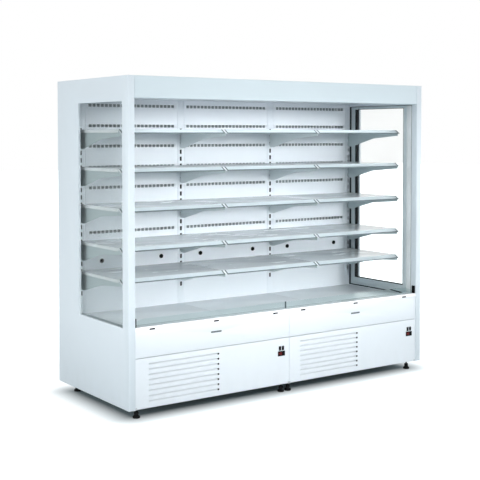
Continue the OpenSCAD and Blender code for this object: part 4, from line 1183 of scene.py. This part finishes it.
COOLER_END, COOLER_END_T, COOLER_Y, COOLER_Z = 1111, 4, (424, 726), (366.3, 468)
COOLER_FINS, COOLER_PITCH, COOLER_FIN_Y, COOLER_FIN_Z = 370, 6.01, (430, 720), (372, 464)
COOLER_TUBES_Y, COOLER_TUBES_Z, COOLER_STAGGER = range(460, 720, 48), (392, 418, 444), 12
COOLER_TUBE_R, COOLER_TUBE_END = 5, 1126


def blade(part, place, hub, turn_to, diameter, deep):
    """Bends a square of sheet into a twisted blade. The place is the middle of the fan's back."""
    x, plate_y, z = place
    root = hub - HUB_WALL
    for vertex in part.verts:
        out, across = vertex.co.x + 0.5, vertex.co.y
        radius = root + out * (diameter / 2 - TIP_PLAY - root)
        chord = diameter * (0.155 + 0.075 * out - 0.04 * out ** 4)
        pitch = math.radians(ROOT_PITCH - PITCH_FALL * out)
        turn = turn_to + across * chord * math.cos(pitch) / radius + SWEEP * out ** 2
        camber = diameter * 0.012 * (1 - 4 * across ** 2)
        lift = deep / 2 + 0.5 + across * chord * math.sin(pitch) + camber
        vertex.co = spot(x + radius * math.cos(turn), plate_y + lift, z - radius * math.sin(turn))


def fan(node, x, finish, plate_y, z, diameter, deep):
    """A fan wheel with a dished hub and twisted blades."""
    hub = diameter / HUB_SHARE
    shape = bmesh.new()
    inner, rim = hub - HUB_WALL, deep - 3
    dish = [(0, 4), (hub * 0.6, 4), (hub, 7), (hub, rim), (inner, rim), (inner, 8.5), (4, 7), (0, 7)]
    turned(shape, (x, plate_y, z), Y, dish, 40)
    for number in range(BLADES):
        part = bmesh.new()
        bmesh.ops.create_grid(part, x_segments=8, y_segments=6, size=0.5)
        blade(part, (x, plate_y, z), hub, number * 2 * math.pi / BLADES, diameter, deep)
        bmesh.ops.recalc_face_normals(part, faces=part.faces)
        bmesh.ops.solidify(part, geom=part.faces, thickness=BLADE_T * MM)
        bmesh.ops.recalc_face_normals(part, faces=part.faces)
        join(shape, part)
    stand_in(node, shape, finish["fan"])


def wire_guard(shape, x, z):
    """Rings of wire over a fan, tied by four spokes and turned down to the plate at their ends."""
    for share in GUARD_RINGS:
        centre = GUARD_D / 2 * share
        angles = [k * math.pi / 4 for k in range(8)]
        ring = [(centre + RING_R * math.cos(a), RING_R * math.sin(a)) for a in angles]
        turned(shape, (x, GUARD_Y, z), Y, ring, 48, True)
    for spoke in SPOKES:
        way = math.radians(spoke)
        near, far = ((x + reach * math.cos(way), z + reach * math.sin(way))
                     for reach in (SPOKE_FROM, SPOKE_TO))
        for start, end in (((near[0], GUARD_Y + 2, near[1]), (far[0], GUARD_Y + 2, far[1])),
                           ((far[0], GUARD_Y + 2.5, far[1]), (far[0], GUARD_Y - GUARD_REACH, far[1]))):
            rod(shape, start, end, SPOKE_R, sides=8)


def condenser(shape, x):
    """Plate fins between two end plates, over tube runs that are joined by bends outside the plates."""
    half, rear = COIL_W / 2, COIL_Y + COIL_D
    for end in WAYS:
        near, far = sorted((end * (half - COIL_SHEET), end * half))
        block(shape, (x + near, COIL_Y, COIL_LOW), (x + far, rear, COIL_TOP), 0.4)
    for z in COIL_TRAYS:
        block(shape, (x - half, COIL_Y, z), (x + half, rear, z + COIL_SHEET), 0.3)
    for fin in range(COIL_FINS):
        at = x - half + FIN_END + fin * (COIL_W - 2 * FIN_END) / (COIL_FINS - 1)
        block(shape, (at - FIN_HALF, COIL_Y + FIN_IN, FIN_LOW),
              (at + FIN_HALF, rear - FIN_IN, COIL_H - FIN_IN), index=1)

    reach = half + TUBE_PAST
    for z in TUBE_ROWS:
        for y in TUBE_Y:
            rod(shape, (x - reach, y, z), (x + reach, y, z), TUBE_R, sides=12, index=2)
    for row, (z, above) in enumerate(zip(TUBE_ROWS, TUBE_ROWS[1:])):
        way = 1 if row % 2 else -1
        end, out = x + way * reach, x + way * (reach + BEND_OUT)
        for y in TUBE_Y:
            bend = [(end, y, z), (out, y, z), (out, y, above), (end, y, above)]
            pipe(shape, rounded(bend, BEND_R, 4), TUBE_R, 10, 2)


def compressor(shape, x):
    """A welded hermetic shell with a terminal box, on its mounting plate and four rubbers."""
    y = COMPRESSOR_Y
    turned(shape, (x, y, SHELL_Z), Z, SHELL, 64)
    wide, deep = MOUNT_HALF
    block(shape, (x - wide, y - deep, MOUNT_LOW), (x + wide, y + deep, MOUNT_TOP), 2.0, 3)
    block(shape, (x - TERMINAL_HALF, y + TERMINAL_Y[0], TERMINAL_Z[0]),
          (x + TERMINAL_HALF, y + TERMINAL_Y[1], TERMINAL_Z[1]), 4, 3)
    for bolt_x in (x - BOLT_X, x + BOLT_X):
        for bolt_y in (y - BOLT_Y, y + BOLT_Y):
            rod(shape, (bolt_x, bolt_y, BOLT_LOW), (bolt_x, bolt_y, BOLT_TOP), BOLT_R, sides=20)
            turned(shape, (bolt_x, bolt_y, RUBBER_Z), Z, RUBBER, 28, index=1)


def cooling_units(finish):
    """The two condensing units behind the louvres, with their pipes, fans and guards."""
    coils, shells, guards, pipes = bmesh.new(), bmesh.new(), bmesh.new(), bmesh.new()
    for x in UNIT_X:
        condenser(coils, x)
        compressor(shells, x)
        wire_guard(guards, x, CONDENSER_FAN["z"])
        for route, bend, steps, radius in PIPES:
            pipe(pipes, rounded([(x + out, y, z) for out, y, z in route], bend, steps), radius)
    stand_in("condensers", coils, finish["zinc"], finish["fins"], finish["copper"])
    stand_in("compressors", shells, finish["black"], finish["pad"])
    made_of("fan_guards", guards, [finish["guard"]], "root", slot_of("foot_studs"))
    made_of("refrigerant_pipes", pipes, [finish["copper"]], "root", slot_of("condensers"))
    for side, x in zip(SIDES, UNIT_X):
        fan(f"condenser_fan_{side}", x, finish, **CONDENSER_FAN)


def evaporator_parts(finish):
    """The finned cooler under the deck with its end plates and tubes, and its two fans."""
    shape = bmesh.new()
    for way in WAYS:
        near, far = sorted((way * COOLER_END, way * (COOLER_END + COOLER_END_T)))
        block(shape, (near, COOLER_Y[0], COOLER_Z[0]), (far, COOLER_Y[1], COOLER_Z[1]), 0.5)
    for fin in range(COOLER_FINS):
        at = 2 - COOLER_END + fin * COOLER_PITCH
        block(shape, (at - FIN_HALF, COOLER_FIN_Y[0], COOLER_FIN_Z[0]),
              (at + FIN_HALF, COOLER_FIN_Y[1], COOLER_FIN_Z[1]), index=1)
    for row, z in enumerate(COOLER_TUBES_Z):
        for y in COOLER_TUBES_Y:
            at = y + COOLER_STAGGER * (row % 2)
            rod(shape, (-COOLER_TUBE_END, at, z), (COOLER_TUBE_END, at, z), COOLER_TUBE_R, sides=10, index=2)
    stand_in("evaporator", shape, finish["zinc"], finish["fins"], finish["copper"])
    for side, x in zip(SIDES, (-INNER / 2, INNER / 2)):
        fan(f"evaporator_fan_{side}", x, finish, **EVAPORATOR_FAN)


camera()
studio()
finish = finishes()
dress_nodes(finish)
ease_pieces(finish)
shelves(finish)
back_of_display(finish)
ticket_strips(finish)
service_panels(finish)
controls(finish)
rear_wall(finish)
roof_cover(finish)
feet(finish)
night_blind(finish)
cooling_units(finish)
evaporator_parts(finish)
